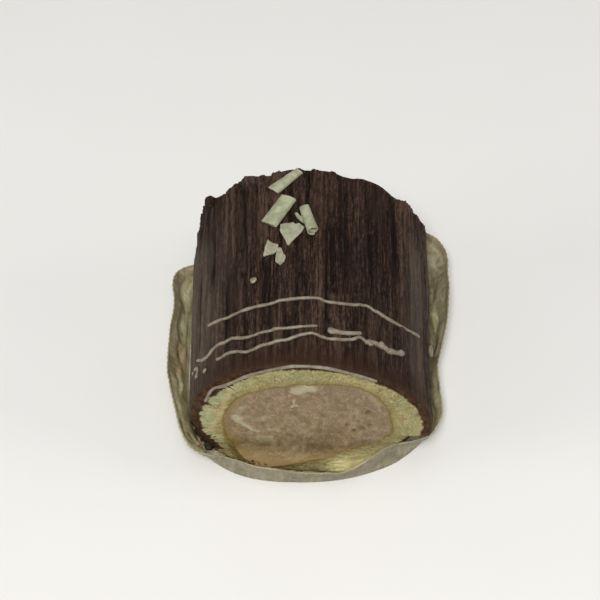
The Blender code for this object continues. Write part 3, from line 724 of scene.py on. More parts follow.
def make_sponge():
    """The sponge, and the lines that it shares with the mousse and with the coat."""
    inner = make_core_hoop("sponge_ring")
    core_line = line_finder(inner)
    outer = make_hoop("sponge_outside", CUT_COLUMNS, (0, AXIS_HEIGHT), HALF_WIDTH, UPPER_HEIGHT)
    thin_coat(outer, SPONGE_OVERLAP)
    lower_half(outer)
    for side, out, below, reach in FOOT_SPREADS:
        pick(outer, lambda p: p.z < FOOT_HEIGHT - below * MM and p.x * side > 18 * MM)
        nudge((side * out * MM, 0, -0.6 * MM), reach * MM)
    close_mesh()
    flatten_below(outer, BED)
    coat_line = line_finder(outer)
    sponge = join([inner, outer])
    open_mesh(sponge)
    pick_all()
    bridge(SPONGE_ROWS)
    pick_all()
    bpy.ops.mesh.duplicate_move(TRANSFORM_OT_translate={"value": (0, 2 * HALF_LENGTH, 0)})
    for line, cuts in ((core_line, 0), (coat_line, SPONGE_OUTSIDE_ROWS)):
        pick_open_edges(sponge, lambda p: mm_from(line, p) < 0.02)
        bridge(cuts)
    close_mesh()
    face_out(sponge)
    return sponge, core_line, coat_line


def make_mousse():
    mousse = make_core_hoop("mousse_core")
    draw_out(mousse)
    middles = []
    for end in (-HALF_LENGTH, HALF_LENGTH):
        middle = make_hoop("mousse_middle", CUT_COLUMNS, (CORE_X, CORE_Z), CORE_HALF_WIDTH / MOUSSE_NARROWING,
                           CORE_HALF_HEIGHT / MOUSSE_NARROWING)
        middle.location.y = end + HALF_LENGTH
        settle(middle)
        middles.append(middle)
    mousse = join([mousse] + middles)
    close_cuts(mousse, MOUSSE_ROWS)
    fill_holes(mousse)
    return mousse


def near_cut(p):
    """1 on either cut face of the straight roll, 0 inside."""
    return 1.0 if abs(abs(p.y) - HALF_LENGTH) < 0.05 * MM else 0.0


def on_cuts(value_at):
    """The same value, but 0 off the cut faces."""
    return lambda p: value_at(p) if near_cut(p) else 0.0


def on_front(value_at):
    """The same value, but 0 off the front cut face."""
    return lambda p: value_at(p) if p.y < 0 and near_cut(p) else 0.0


def line_distance(p, path):
    """Distance in mm from a point to a line of (x, z) places in mm on the cut face."""
    best = 1e9
    here = Vector((p.x, p.z)) / MM
    for first, last in zip(path, path[1:]):
        a, b = Vector(first), Vector(last)
        share = min(max((here - a).dot(b - a) / (b - a).length_squared, 0.0), 1.0)
        best = min(best, (here - a - (b - a) * share).length)
    return best


def round_core(p):
    """Degrees round the core, and mm from its middle."""
    x, z = p.x - CORE_X, p.z - CORE_Z
    return math.degrees(math.atan2(z, x)), math.hypot(x, z) / MM


def lower_left(p):
    """1 in the lower left of the cut, where sponge and mousse are stained most."""
    return ease((2 * MM - p.x) / (22 * MM)) * ease((26 * MM - p.z) / (16 * MM))


def upper_left(p):
    """1 towards the left of the cut, where chocolate was dragged over the sponge."""
    return ease((-14 * MM - p.x) / (9 * MM)) * ease((p.z - 9 * MM) / (8 * MM))


def baked_at(p, core_line):
    """1 in the brown line where the sponge meets the mousse."""
    wide = 0.55 + 0.35 * speck(p, 2.5 * MM, 3.0) + 1.6 * lower_left(p)
    return ease(1.25 - mm_from(core_line, p) / wide)


def dragged_at(p):
    """Fine light and dark lines that the knife drew out from the core, from -1 to 1."""
    angle, reach = round_core(p)
    bend = 4.0 * speck(p, 7.0 * MM, 2.0)
    coarse = noise.noise(Vector((angle / 3.4, reach / 6.0, bend)))
    line = noise.noise(Vector((angle / 1.3, reach / 4.0, 3.0)))
    return (0.75 * coarse + 0.4 * line) * (0.3 + 0.7 * upper_left(p))


def smeared_at(p, coat_line):
    """1 where chocolate from the coat covers the sponge's margin, in ragged teeth."""
    angle = round_core(p)[0]
    fine = noise.noise(Vector((angle / 1.7, 4.0, 0.0)))
    wide = noise.noise(Vector((angle / 6.0, 8.0, 0.0)))
    tooth = max(0.5 + 0.8 * fine + 0.8 * wide, 0.0)
    length = 0.25 + 0.5 * fine + 0.5 * wide + 1.5 * upper_left(p) * tooth ** 2
    return ease((length - mm_from(coat_line, p)) / 0.6 + 0.5)


def pale_and_lit_foot_at(p):
    """1 at the foot of the cut, where sponge and mousse are painted lighter: the sponge is partly paler there
    itself, and the rest is painted light against the shade of the paper's front wall.
    """
    return ease((17 * MM - p.z) / (10 * MM))


def peach_at(p):
    """1 on the light brown line through the left of the sponge."""
    return ease(1.4 - line_distance(p, PEACH_LINE) / (0.8 + 0.5 * speck(p, 2 * MM, 8.0)))


def lip_at(p, core_line, coat_line):
    """1 in the middle of the sponge's foot, which the mousse pressed forward."""
    foot = ease((10.0 * MM - p.z) / (6.5 * MM)) * ease((p.x + 2 * MM) / (9 * MM))
    return foot * ease((mm_from(coat_line, p) - 0.3) / 2.2) * ease(mm_from(core_line, p) / 1.0)


def finish_sponge(sponge, core_line, coat_line):
    """Open crumb on both cut faces, and what the knife dragged over it."""
    looks = {
        "toasted": lambda p: ease(1.3 - mm_from(core_line, p) / (2.4 + speck(p, 3 * MM, 5.0))),
        "baked": lambda p: baked_at(p, core_line),
        "smeared": lambda p: smeared_at(p, coat_line),
        "dragged": dragged_at,
        "lower_left": lower_left,
        "peach": peach_at,
        "outer_left": lambda p: upper_left(p) * ease((4.2 - mm_from(coat_line, p)) / 1.8),
        "pale_and_lit_foot": lambda p: pale_and_lit_foot_at(p) * ease((p.x - 2 * MM) / (9 * MM)),
    }
    for name, value_at in looks.items():
        paint(sponge, name, on_cuts(value_at))
    weigh(sponge, "lip", on_front(lambda p: lip_at(p, core_line, coat_line)))
    weigh(sponge, "cut_face", near_cut)
    weigh(sponge, "drawn", on_cuts(dragged_at))
    for pattern in SPONGE_RELIEF:
        relief(sponge, "cut_face", *pattern)
    raise_by(sponge, "drawn", DRAWN_HEIGHT)
    raise_by(sponge, "lip", LIP_HEIGHT)


def cream_at(p):
    """How much cream lies on a point of the front cut face."""
    wisp = 1.0 + 0.45 * speck(p, 1.8 * MM, 5.0) + 0.3 * speck(p, 0.7 * MM, 9.0)
    return max(strength * ease(1.45 - line_distance(p, path) / (width * wisp))
               for width, strength, path in SMEARS.values())


def pit_at(p):
    """1 in the small pits of the front cut face, which are sunk and darkened with painted shade."""
    return max(ease(1.5 - math.hypot(p.x / MM - x, (p.z / MM - z) / 1.5) / radius) for x, z, radius in PITS)


def border_at(p, core_line):
    """1 in the brown margin of the mousse."""
    left = ease((-16 * MM - p.x) / (6 * MM))
    wide = 0.9 + 0.5 * speck(p, 3.0 * MM, 6.0) + 1.3 * left + 3.0 * lower_left(p)
    return ease(1.3 - mm_from(core_line, p) / wide)


def finish_mousse(mousse, core_line):
    paint(mousse, "cream", on_front(cream_at))
    paint(mousse, "border", on_cuts(lambda p: border_at(p, core_line)))
    paint(mousse, "pit_shade", on_front(pit_at))
    paint(mousse, "pale_and_lit_foot", on_cuts(pale_and_lit_foot_at))
    weigh(mousse, "cut_face", on_cuts(lambda p: ease(round_core(p)[1] / 3.0)))
    weigh(mousse, "raised_cream", on_front(cream_at))
    weigh(mousse, "sunk_pit", on_front(pit_at))
    for pattern in MOUSSE_RELIEF:
        relief(mousse, "cut_face", *pattern)
    raise_by(mousse, "raised_cream", CREAM_HEIGHT)
    raise_by(mousse, "sunk_pit", -PIT_DEPTH)


# ---------------------------------------------------------------- white chocolate strings

def string_through(name, places):
    """A smooth line through places on the roll, still without thickness."""
    string = start(name, bpy.ops.curve.primitive_bezier_curve_add)
    string.data.resolution_u = STRING_STEPS
    points = string.data.splines[0].bezier_points
    points.add(len(places) - len(points))
    for point, (angle, distance) in zip(points, places):
        point.co = on_roll(angle, distance * MM, 0.2 * MM)
        point.handle_left_type = "AUTO"
        point.handle_right_type = "AUTO"
    take(string)
    bpy.ops.object.convert(target="MESH")
    return bpy.context.object


def draw_string(name, places, coat):
    """A string that follows the combed coat, thicker here and there."""
    string = string_through(name, places)
    hug = string.modifiers.new("hug", "SHRINKWRAP")
    hug.target = coat
    hug.offset = STRING_LIFT
    ease_out = string.modifiers.new("ease", "SMOOTH")
    ease_out.factor = 0.5
    ease_out.iterations = 5
    apply_modifiers(string)
    bpy.ops.object.convert(target="CURVE")
    string = bpy.context.object
    curve = string.data
    curve.dimensions = "3D"
    curve.bevel_depth = STRING_RADIUS * THICKER.get(name, 1.0)
    curve.bevel_resolution = 3
    curve.use_fill_caps = True
    for spline in curve.splines:
        last = len(spline.points) - 1
        for i, point in enumerate(spline.points):
            place = point.co[:3]
            tip = min(1.0, 0.35 + 0.4 * min(i, last - i))
            point.radius = tip * (1.0 + 0.30 * speck(place, 3.0 * MM, 2.0) + 0.15 * speck(place, 0.9 * MM, 4.0))
    bpy.ops.object.convert(target="MESH")
    return bpy.context.object


def make_drop(number, angle, distance, radius):
    """A flattened round drop, dragged a little to one side."""
    drop = start("drop", bpy.ops.mesh.primitive_uv_sphere_add, segments=24, ring_count=14, radius=radius * MM)
    open_mesh(drop)
    pick(drop, lambda p: p.x > radius * 0.9 * MM)
    nudge((0.5 * radius * MM, 0.3 * (-1) ** number * radius * MM, 0), 1.2 * radius * MM)
    pick_all()
    stretch((1.0, 1.1, 0.62), (0, 0, 0))
    close_mesh()
    relief(drop, "", "lumpy", (radius, radius, radius), 0.25 * radius, 1, float(number))
    drop.matrix_world = lying_at(angle, distance, 0.1 * MM)
    settle(drop)
    return drop


def build_strings(coat):
    strings = [draw_string(name, places, coat) for name, places in STRINGS.items()]
    drops = [make_drop(number, *drop) for number, drop in enumerate(DROPS)]
    whole = join(strings + drops)
    whole.name = "white_strings"
    face_out(whole)
    return whole


# ---------------------------------------------------------------- curls and flakes

def turn_over(angle):
    """Turn what is selected about the curl's own axis."""
    bpy.ops.transform.rotate(value=angle, orient_axis="Y", center_override=(0, 0, 0))


def build_curl(name, angle, distance, heading, length, radii, slants, face_up):
    """A thin shaving of white chocolate that has rolled itself up, cut off at a slant at both ends."""
    length, near, far = length * MM, radii[0] * MM, radii[1] * MM
    curl = start(name, bpy.ops.mesh.primitive_plane_add, size=2.0)
    open_mesh(curl)
    pick(curl, lambda p: p.x < 0)
    bpy.ops.mesh.delete(type="VERT")
    pick_all()
    stretch((1, length * 0.7, 1), (0, 0, 0))
    bpy.ops.transform.translate(value=(near * 0.96 - 1.0, 0, 0))
    turn_over(math.radians(CURL_START))
    bpy.ops.mesh.subdivide(number_cuts=CURL_ROWS)
    step = 2 * math.pi * CURL_TURNS / CURL_STEPS
    shrink = CURL_INSIDE ** (1.0 / CURL_STEPS)
    for _ in range(CURL_STEPS):
        bpy.ops.mesh.extrude_region_move()
        turn_over(-step)
        stretch((shrink, 1, shrink), (0, 0, 0))
    for side, slant, up in zip((-1, 1), slants, (face_up, CURL_FAR_UP)):
        pick_all()
        bpy.ops.mesh.bisect(plane_co=(0, side * length * 0.5, 0), plane_no=(-side * slant, side, up),
                            clear_outer=True)
    pick(curl, lambda p: p.y > length * 0.4)
    bpy.ops.transform.resize(value=(far / near, 1, far / near), center_override=(0, 0, -near),
                             use_proportional_edit=True, proportional_edit_falloff="LINEAR",
                             proportional_size=length * 0.95)
    close_mesh()
    relief(curl, "", "shaving", (1.6, 5.0, 1.6), 0.24, 1, near / MM)
    sheet = curl.modifiers.new("sheet", "SOLIDIFY")
    sheet.thickness = CURL_SHEET
    sheet.offset = 0.0
    soft = curl.modifiers.new("soft", "BEVEL")
    soft.width = CURL_EDGE
    soft.segments = 2
    soft.limit_method = "ANGLE"
    apply_modifiers(curl)
    curl.matrix_world = (lying_at(angle, distance, near + REST_LIFT)
                         @ Matrix.Rotation(math.radians(heading - 90), 4, "Z"))
    settle(curl)
    face_out(curl)
    return curl


def build_flake(name, angle, distance, tilt, bend, outline):
    """A thin bent piece of white chocolate with broken edges."""
    flake = start(name, bpy.ops.mesh.primitive_circle_add, vertices=len(outline), radius=MM, fill_type="NGON")
    points = flake.data.vertices
    order = sorted(range(len(points)), key=lambda i: math.atan2(points[i].co.y, points[i].co.x))
    corners = sorted(outline, key=lambda corner: math.atan2(corner[1], corner[0]))
    for i, corner in zip(order, corners):
        points[i].co = (corner[0] * MM, corner[1] * MM, 0)
    open_mesh(flake)
    pick_all()
    bpy.ops.mesh.extrude_region_move(TRANSFORM_OT_translate={"value": (0, 0, FLAKE_SHEET)})
    pick_all()
    bpy.ops.mesh.normals_make_consistent(inside=False)
    bpy.ops.mesh.bevel(offset=CURL_EDGE, segments=2)
    pick_all()
    bpy.ops.mesh.quads_convert_to_tris()
    for _ in range(4):
        bpy.ops.mesh.subdivide(number_cuts=1)
        pick_all()
    close_mesh()
    slope = math.tan(math.radians(tilt))
    lowest = min(slope * x + bend * x * x for x, _ in outline)
    for point in flake.data.vertices:
        x = point.co.x / MM
        point.co.z += (slope * x + bend * x * x - min(lowest, 0.0)) * MM
    relief(flake, "", "broken", (1.0, 1.0, 1.0), 0.22, 2, abs(tilt))
    flake.matrix_world = lying_at(angle, distance, REST_LIFT)
    settle(flake)
    face_out(flake)
    return flake


# ---------------------------------------------------------------- paper case

def make_case_hoop(name, sizes, corner, corner_reach, depth, height, pushes):
    """A pleated line round the case, a rounded square that is pushed out and in by places."""
    hoop = start(name, bpy.ops.mesh.primitive_circle_add, vertices=PLEAT_POINTS * PLEATS, radius=1.0)
    open_mesh(hoop)
    pick_all()
    stretch((sizes[0], sizes[1], 1), (0, 0, 0))
    corners = [(angle, corner_reach / MM, corner / MM, 0.0) for angle in (45, 135, 225, 315)]
    for width, places in ((0.8, corners), (1.0, pushes)):           # picked within this many degrees
        for angle, reach, out, up in places:
            turn = math.radians(angle)
            away = Vector((math.cos(turn), math.sin(turn), 0))
            close_by = math.cos(math.radians(width))
            pick(hoop, lambda p: p.to_2d().normalized().dot(away.to_2d()) > close_by)
            nudge(away * out * MM + Vector((0, 0, up * MM)), reach * MM)
    for numbers, share in (((0,), 1.0), ((1, 3), 0.4)):             # bottoms of the pleats, and their sides
        mark(hoop, "VERT", lambda point: point.index % PLEAT_POINTS in numbers)
        stretch((1 - share * depth / sizes[0], 1 - share * depth / sizes[1], 1), (0, 0, 0))
    pick_all()
    bpy.ops.transform.translate(value=(CASE_X + CENTRING.x, CENTRING.y, height))
    close_mesh()
    return hoop


def build_case():
    hoops = [make_case_hoop(*shape) for shape in zip(
        ("pleated_case", "case_rim"), (CASE_FOOT, CASE_RIM), CASE_CORNER, CASE_CORNER_REACH, PLEAT_DEPTH,
        (0.0, CASE_HEIGHT), (FOOT_PUSHES, RIM_PUSHES))]
    case = join(hoops)
    open_mesh(case)
    pick_all()
    bridge(CASE_ROWS)
    pick(case, lambda p: p.z < 0.01 * MM)
    bpy.ops.mesh.edge_face_add()
    close_mesh()
    face_out(case)
    paint(case, "height", lambda p: p.z / CASE_HEIGHT)
    paint(case, "tan", lambda p: ease(1.4 - math.hypot(p.x / MM + 39, p.y / MM + 1, p.z / MM - 6) / 7))
    paint(case, "rear", lambda p: ease((p.y + 20 * MM) / (16 * MM)))
    paint(case, "side", lambda p: ease((abs(p.x) - 24 * MM) / (10 * MM)))
    weigh(case, "wall", lambda p: 0.8 * ease((p.z - 0.6 * MM) / (7 * MM)))
    weigh(case, "middle", lambda p: ease((p.z - 1.5 * MM) / (4 * MM)) * ease((14.5 * MM - p.z) / (4 * MM)))
    for group, pattern in CASE_RELIEF:
        relief(case, group, *pattern)
    outside = len(case.data.vertices)
    sheet = case.modifiers.new("paper", "SOLIDIFY")
    sheet.thickness = PAPER
    sheet.offset = -1.0
    apply_modifiers(case)
    # Solidify puts the inner wall's points after the outer wall's
    layer = case.data.attributes.new("inside", "FLOAT", "POINT")
    layer.data.foreach_set("value", [float(i >= outside) for i in range(len(case.data.vertices))])
    smooth(case, 30.0)
    return case


def make_crumb(x, y, z, radius):
    """A lump that lies in the case."""
    crumb = make_lump(radius, x, radius + y)
    crumb.location = Vector((x, y, z)) * MM + CENTRING
    settle(crumb)
    return crumb


def build_crumbs(name, places):
    crumbs = join([make_crumb(*place) for place in places])
    crumbs.name = name
    face_out(crumbs)
    smooth(crumbs)
    return crumbs


# ---------------------------------------------------------------- materials

def shade(color):
    """Linear colour from red, green and blue of 0 to 255; what comes from a node stays as it is."""
    if isinstance(color, bpy.types.NodeSocket):
        return color
    parts = [part / 255.0 for part in color]
    return [part / 12.92 if part <= 0.04045 else ((part + 0.055) / 1.055) ** 2.4 for part in parts] + [1.0]


class Finish:
    """A material built up in layers of colour."""

    def __init__(self, name):
        self.material = bpy.data.materials.new(name)
        self.material.use_nodes = True
        self.tree = self.material.node_tree
        self.shader = self.tree.nodes["Principled BSDF"]
        self.color = None

    def feed(self, node, inputs):
        """Give each socket a value, or what comes out of another node."""
        for name, value in inputs.items():
            if isinstance(value, bpy.types.NodeSocket):
                self.tree.links.new(value, node.inputs[name])
            else:
                node.inputs[name].default_value = value

    def add(self, kind, inputs, output, **settings):
        node = self.tree.nodes.new("ShaderNode" + kind)
        for name, value in settings.items():
            setattr(node, name, value)
        self.feed(node, inputs)
        return node.outputs[output]

    def grain(self, size, detail=3.0, roughness=0.55, shift=(0.0, 0.0, 0.0), distortion=0.0):
        """Noise over the piece's own place, whose grain has this size in mm along x, y and z."""
        fit = self.add("Mapping", {"Vector": self.add("TexCoord", {}, "Object"), "Location": shift,
                                   "Scale": [1.0 / (length * MM) for length in size]}, "Vector")
        return self.add("TexNoise", {"Vector": fit, "Scale": 1.0, "Detail": detail, "Roughness": roughness,
                                     "Distortion": distortion}, "Fac")

    def painted(self, name):
        """A value that was painted on the piece."""
        return self.add("Attribute", {}, "Fac", attribute_name=name)

    def reckon(self, operation, first, second):
        return self.add("Math", {0: first, 1: second}, 0, operation=operation)

    def total(self, *parts):
        """Sum of values, each by its weight."""
        whole = self.reckon("MULTIPLY", *parts[0])
        for part in parts[1:]:
            whole = self.reckon("ADD", whole, self.reckon("MULTIPLY", *part))
        return whole

    def span(self, value, low, high, to_low=0.0, to_high=1.0):
        """Spread a value's range from low to high over another range."""
        return self.add("MapRange", {"Value": value, "From Min": low, "From Max": high, "To Min": to_low,
                                     "To Max": to_high}, "Result")

    def blend(self, share, under, over, kind="MIX"):
        return self.add("Mix", {"Factor": share, 6: shade(under), 7: shade(over)}, 2,
                        data_type="RGBA", blend_type=kind, clamp_factor=True)

    def ramp(self, value, *stops):
        """Colours by a value; stops are a place and a colour each."""
        scale = self.tree.nodes.new("ShaderNodeValToRGB")
        points = scale.color_ramp.elements
        while len(points) < len(stops):
            points.new(0.5)
        for point, (place, color) in zip(points, stops):
            point.position = place
            point.color = shade(color)
        self.feed(scale, {"Fac": value})
        return scale.outputs["Color"]

    def base(self, pattern, low, high, color, other):
        """The lowest layer: one colour where a pattern is low, another where it is high."""
        self.color = self.blend(self.span(pattern, low, high), color, other)

    def lay(self, share, color, kind="MIX"):
        """Lay a colour over the layers below."""
        self.color = self.blend(share, self.color, color, kind)

    def dapple(self, pattern, low, high, most, color):
        """Lay a colour where a pattern goes from low to high, by this share at most."""
        self.lay(self.span(pattern, low, high, 0.0, most), color)

    def tint(self, name, most, color):
        """Lay a colour where a value was painted, by this share at most."""
        self.lay(self.reckon("MULTIPLY", self.painted(name), most), color)

    def surface(self, roughness, specular=None):
        self.feed(self.shader, {"Base Color": self.color, "Roughness": roughness})
        if specular is not None:
            self.feed(self.shader, {"Specular IOR Level": specular})

    def soak(self, weight, *depths):
        """Let light into the stuff, red, green and blue by these depths in mm."""
        self.feed(self.shader, {"Subsurface Weight": weight, "Subsurface Scale": 1.0,
                                "Subsurface Radius": [depth * MM for depth in depths]})

    def roughen(self, height, depth, strength):
        """Finest unevenness, with its depth in mm."""
        inputs = {"Height": height, "Distance": depth * MM, "Strength": strength}
        self.feed(self.shader, {"Normal": self.add("Bump", inputs, "Normal")})


def chocolate_finish():
    look = Finish("combed_chocolate")
    ribs = look.grain((1.1, 30.0, 1.1), detail=4.0)
    fine = look.grain((0.34, 3.4, 0.34), shift=(3.0, 0.0, 0.0))
    flecks = look.grain((0.6, 1.1, 0.6), shift=(7.0, 2.0, 0.0))
    cloudy = look.grain((7.0, 22.0, 7.0), shift=(0.0, 5.0, 0.0))
    # Painted shade and painted sheen: the height of the relief darkens the furrows and lightens the crests,
    # among the streaks
    height = look.span(look.painted("height"), -0.9, 0.9)
    streaks = look.total((ribs, 0.38), (fine, 0.34), (flecks, 0.22), (height, 0.16))
    look.color = look.ramp(streaks, (0.45, (20, 12, 9)), (0.53, (47, 33, 26)), (0.63, (80, 62, 51)))
    look.dapple(cloudy, 0.46, 0.66, 0.3, (62, 46, 34))                          # worn patches
    # Painted sheen: the sides lighter and greyer where they are rubbed smooth
    look.lay(look.painted("rubbed_and_sheen"), (50, 45, 37), "ADD")
    look.dapple(look.painted("from_front"), 9.0, 2.0, 0.7, (48, 30, 19))        # redder at the front edge
    # Painted shade in the deep grooves
    look.tint("groove_shade", 0.85, (16, 10, 8))
    mottled = look.blend(look.span(look.grain((1.6, 1.6, 2.2)), 0.42, 0.60), (54, 36, 22), (82, 59, 38))
    look.lay(look.painted("cut"), mottled)
    look.surface(look.span(fine, 0.3, 0.7, 0.48, 0.66), 0.11)
    look.feed(look.shader, {"Specular IOR Level": look.span(look.painted("cut"), 0.0, 1.0, 0.11, 0.04)})
    look.roughen(look.total((fine, 1.0), (look.grain((0.3, 1.2, 0.3)), 0.3)), 0.25, 0.7)
    return look.material


def sponge_finish():
    look = Finish("yellow_sponge")
    crumb = look.grain((0.5, 0.5, 0.8), roughness=0.6)
    clumps = look.grain((2.0, 2.0, 3.0), shift=(5.0, 0.0, 2.0))
    patches = look.grain((6.0, 6.0, 6.0), shift=(1.0, 2.0, 3.0))
    dragged = look.painted("dragged")
    look.base(patches, 0.42, 0.60, (168, 155, 108), (150, 148, 102))
    look.dapple(clumps, 0.52, 0.36, 0.7, (134, 118, 74))            # denser clumps
    look.dapple(crumb, 0.47, 0.32, 0.6, (108, 90, 52))              # pores
    look.dapple(crumb, 0.54, 0.68, 0.6, (200, 190, 142))            # pale crumbs
    look.tint("toasted", 0.5, (132, 112, 64))
    look.tint("outer_left", 0.6, (164, 168, 126))
    look.dapple(dragged, 0.05, 0.45, 0.4, (178, 180, 138))          # light lines of the knife
    look.dapple(dragged, -0.05, -0.45, 0.5, (116, 108, 70))         # and dark ones
    look.tint("peach", 0.5, (190, 168, 124))
    look.tint("lower_left", 0.35, (148, 128, 72))
    look.tint("baked", 0.75, (112, 90, 46))
    # Painted light: the foot of the cut is lightened against the shade of the paper's front wall, over sponge
    # that is partly paler there
    look.tint("pale_and_lit_foot", 0.85, (230, 218, 163))
    look.lay(look.painted("smeared"), (60, 42, 28))
    look.surface(0.9, 0.2)
    look.soak(0.12, 1.2, 0.9, 0.5)
    look.roughen(look.grain((0.5, 0.5, 0.5), detail=4.0, roughness=0.6), 0.4, 0.6)
    return look.material


def mousse_finish():
    look = Finish("mocha_mousse")
    folds = look.grain((4.0, 4.0, 6.0), detail=4.0, distortion=0.8)
    mottle = look.grain((1.3, 1.3, 2.2), detail=4.0, shift=(4.0, 1.0, 0.0), distortion=0.4)
    fine = look.grain((0.5, 0.5, 0.8), shift=(1.0, 6.0, 0.0))
    look.color = look.ramp(folds, (0.36, (124, 103, 75)), (0.50, (138, 117, 88)), (0.66, (152, 132, 102)))
    look.dapple(mottle, 0.47, 0.32, 0.6, (106, 86, 58))             # dark mottling
    look.dapple(fine, 0.44, 0.30, 0.6, (90, 72, 46))                # bubbles
    look.dapple(mottle, 0.54, 0.68, 0.55, (168, 149, 120))          # pale mottling
    look.tint("border", 0.7, (134, 112, 58))
    # Painted light: the foot of the mousse is lightened against the shade of the paper's front wall
    look.lay(look.painted("pale_and_lit_foot"), (150, 130, 98), "ADD")
    look.lay(look.painted("cream"), (172, 164, 134))
    # Painted shade in the small pits
    look.tint("pit_shade", 0.6, (84, 66, 42))
    look.surface(look.span(folds, 0.3, 0.7, 0.45, 0.65), 0.3)
    look.soak(0.15, 1.5, 1.0, 0.6)
    look.roughen(fine, 0.25, 0.5)
    return look.material


def white_finish(name, light, dull, rosy):
    """White chocolate, from a light to a duller shade, with rosier places."""
    look = Finish(name)
    fine = look.grain((0.5, 1.5, 0.5), shift=(2.0, 0.0, 1.0))
    look.base(look.grain((2.5, 2.5, 2.5)), 0.40, 0.62, dull, light)
    look.dapple(look.grain((1.8, 1.8, 1.8), shift=(6.0, 3.0, 0.0)), 0.50, 0.66, 0.5, rosy)
    look.dapple(fine, 0.52, 0.70, 0.3, dull)
    look.surface(look.span(fine, 0.3, 0.7, 0.38, 0.58))
    look.soak(0.2, 1.0, 0.8, 0.5)
    look.roughen(fine, 0.10, 0.5)
    return look.material


def paper_finish():
    """Thin greased paper that some light comes through."""
    look = Finish("greased_paper")
    fibres = look.grain((1.2, 1.2, 8.0), detail=4.0)
    stains = look.grain((6.0, 6.0, 4.0), detail=4.0, shift=(2.0, 0.0, 4.0))
    folds = look.grain((2.6, 2.6, 6.0), shift=(0.0, 3.0, 1.0), distortion=0.8)
    long_folds = look.grain((10.0, 10.0, 2.6), detail=4.0, shift=(5.0, 3.0, 0.0), distortion=0.5)
    height, side = look.painted("height"), look.painted("side")
    look.base(stains, 0.38, 0.60, (164, 155, 116), (208, 202, 168))
    wavy = look.total((height, 1.0), (look.grain((8.0, 8.0, 8.0)), 0.5))
    greased = look.reckon("MULTIPLY", look.span(wavy, 0.80, 0.92, 0.0, 0.75), look.painted("rear"))
    look.lay(greased, (132, 121, 96))                   # a darker band below the rim
    look.tint("tan", 0.6, (168, 138, 98))
    outer = look.blend(look.span(stains, 0.40, 0.62), (122, 115, 92), (150, 142, 118))
    look.color = look.blend(look.painted("inside"), outer, look.color)
    look.dapple(folds, 0.46, 0.34, 0.45, (112, 104, 76))            # painted shade in the creases
    # Painted light and painted shade on the sides: lighter and darker bands along the long folds
    for low, high, color in ((0.53, 0.64, (200, 196, 170)), (0.47, 0.36, (100, 90, 66))):
        look.lay(look.reckon("MULTIPLY", side, look.span(long_folds, low, high, 0.0, 0.5)), color)
    look.dapple(fibres, 0.52, 0.68, 0.5, (180, 174, 150))           # fibres
    look.dapple(height, 0.93, 1.0, 0.5, (124, 112, 86))             # the rim
    look.surface(look.span(stains, 0.3, 0.7, 0.5, 0.8), 0.3)
    look.soak(0.45, 1.6, 1.5, 1.2)
    look.roughen(fibres, 0.15, 0.6)
    return look.material


def crumb_finish(name, color, deep):
    look = Finish(name)
    spots = look.grain((0.9, 0.9, 0.9), detail=4.0)
    look.base(spots, 0.40, 0.62, deep, color)
    look.surface(look.span(spots, 0.3, 0.7, 0.5, 0.8))
    look.roughen(look.grain((0.3, 0.3, 0.3)), 0.2, 0.6)
    return look.material


def floor_finish():
    look = Finish("pale_floor")
    look.color = look.blend(look.grain((60.0, 60.0, 60.0), detail=2.0), (226, 224, 220), (230, 228, 224))
    look.surface(0.85)
    return look.material


def dress(piece, material):
    piece.data.materials.clear()
    piece.data.materials.append(material)


# ---------------------------------------------------------------- view and light

def place_in_scene(name, data):
    holder = bpy.data.objects.new(name, data)
    bpy.context.scene.collection.objects.link(holder)
    return holder


def set_view():
    camera = bpy.data.cameras.new("view")
    camera.sensor_width = SENSOR_WIDTH
    camera.lens = VIEW_FOCAL_PIXELS / VIEW_PIXELS * SENSOR_WIDTH
    holder = place_in_scene("view", camera)
    tilt = math.radians(VIEW_ELEVATION)
    back = Vector((0, -math.cos(tilt), math.sin(tilt)))
    up = Vector((0, math.sin(tilt), math.cos(tilt)))
    per_pixel = VIEW_DISTANCE / VIEW_FOCAL_PIXELS
    aside, below = ((pixel - VIEW_PIXELS / 2) * per_pixel for pixel in VIEW_TARGET_PIXEL)
    holder.location = VIEW_TARGET + back * VIEW_DISTANCE - Vector((aside, 0, 0)) + up * below
    holder.rotation_euler = (math.radians(90.0 - VIEW_ELEVATION), 0, 0)
    bpy.context.scene.camera = holder


def set_light():
    world = bpy.data.worlds.new("studio")
    world.use_nodes = True
    sky = world.node_tree.nodes["Background"]
    sky.inputs["Color"].default_value = (1.0, 1.0, 1.0, 1.0)
    sky.inputs["Strength"].default_value = SKY_STRENGTH
    bpy.context.scene.world = world
    for name, (place, size, power) in LAMPS.items():
        lamp = bpy.data.lights.new(name, "AREA")
        lamp.shape = "DISK"
        lamp.size = size
        lamp.energy = power
        holder = place_in_scene(name, lamp)
        holder.location = place
        holder.rotation_euler = (LAMPS_AIM - holder.location).to_track_quat("-Z", "Y").to_euler()
    bpy.context.scene.view_settings.view_transform = "Standard"


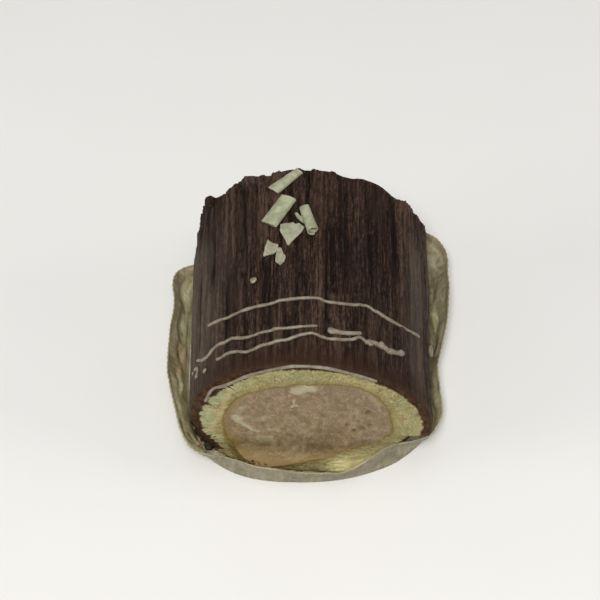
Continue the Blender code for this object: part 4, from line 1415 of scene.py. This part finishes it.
def lay_floor():
    floor = start("floor", bpy.ops.mesh.primitive_plane_add, size=FLOOR_SIZE, location=(0, 0, -FLOOR_DROP))
    settle(floor)
    dress(floor, floor_finish())


# ---------------------------------------------------------------- all of it

def keep(piece, material, slot, *nodes):
    """Hand a finished piece to the frame."""
    dress(piece, material)
    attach(piece, "root")
    if nodes:
        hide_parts(*nodes)


set_view()
cage = make_slanting_cage()
chocolate = chocolate_finish()
white = white_finish("white_chocolate", (166, 170, 140), (140, 142, 110), (182, 170, 150))
broken_white = white_finish("broken_white_chocolate", (162, 161, 138), (137, 136, 113), (176, 163, 148))
drawn_white = white_finish("drawn_white_chocolate", (138, 128, 110), (110, 99, 82), (142, 126, 110))

coat = build_coat()
strings = build_strings(coat)
sponge, core_line, coat_line = make_sponge()
finish_sponge(sponge, core_line, coat_line)
bite_back_edge(sponge, COAT_SIDE)
mousse = make_mousse()
finish_mousse(mousse, core_line)
curls = [build_curl(name, *shape) for name, shape in CURLS.items()]
flakes = [build_flake(name, *shape) for name, shape in FLAKES.items()]
curls[2] = join([curls[2], build_flake("splinter", *SPLINTER)])
for piece in [coat, strings, sponge, mousse] + curls + flakes:
    lay_slanted(piece, cage)
    smooth(piece)
bpy.data.objects.remove(cage, do_unlink=True)
case = build_case()
dark_crumbs = build_crumbs("dark_crumbs", DARK_CRUMBS)
cake_crumbs = build_crumbs("cake_crumbs", CAKE_CRUMBS)

keep(coat, chocolate, "chocolate", "chocolate_covering")
keep(strings, drawn_white, "white_chocolate", "chocolate_covering")
keep(sponge, sponge_finish(), "sponge", "sponge")
keep(mousse, mousse_finish(), "mousse", "filling")
for piece, node in zip(curls, CURLS):
    keep(piece, white, "white_chocolate", node)
for piece, node in zip(flakes, FLAKES):
    keep(piece, broken_white, "white_chocolate", node)
keep(case, paper_finish(), "paper", "paper_case")
keep(dark_crumbs, crumb_finish("chocolate_crumb", (66, 47, 32), (36, 24, 16)), "chocolate")
keep(cake_crumbs, crumb_finish("cake_crumb", (168, 134, 98), (126, 94, 64)), "sponge")
lay_floor()
set_light()
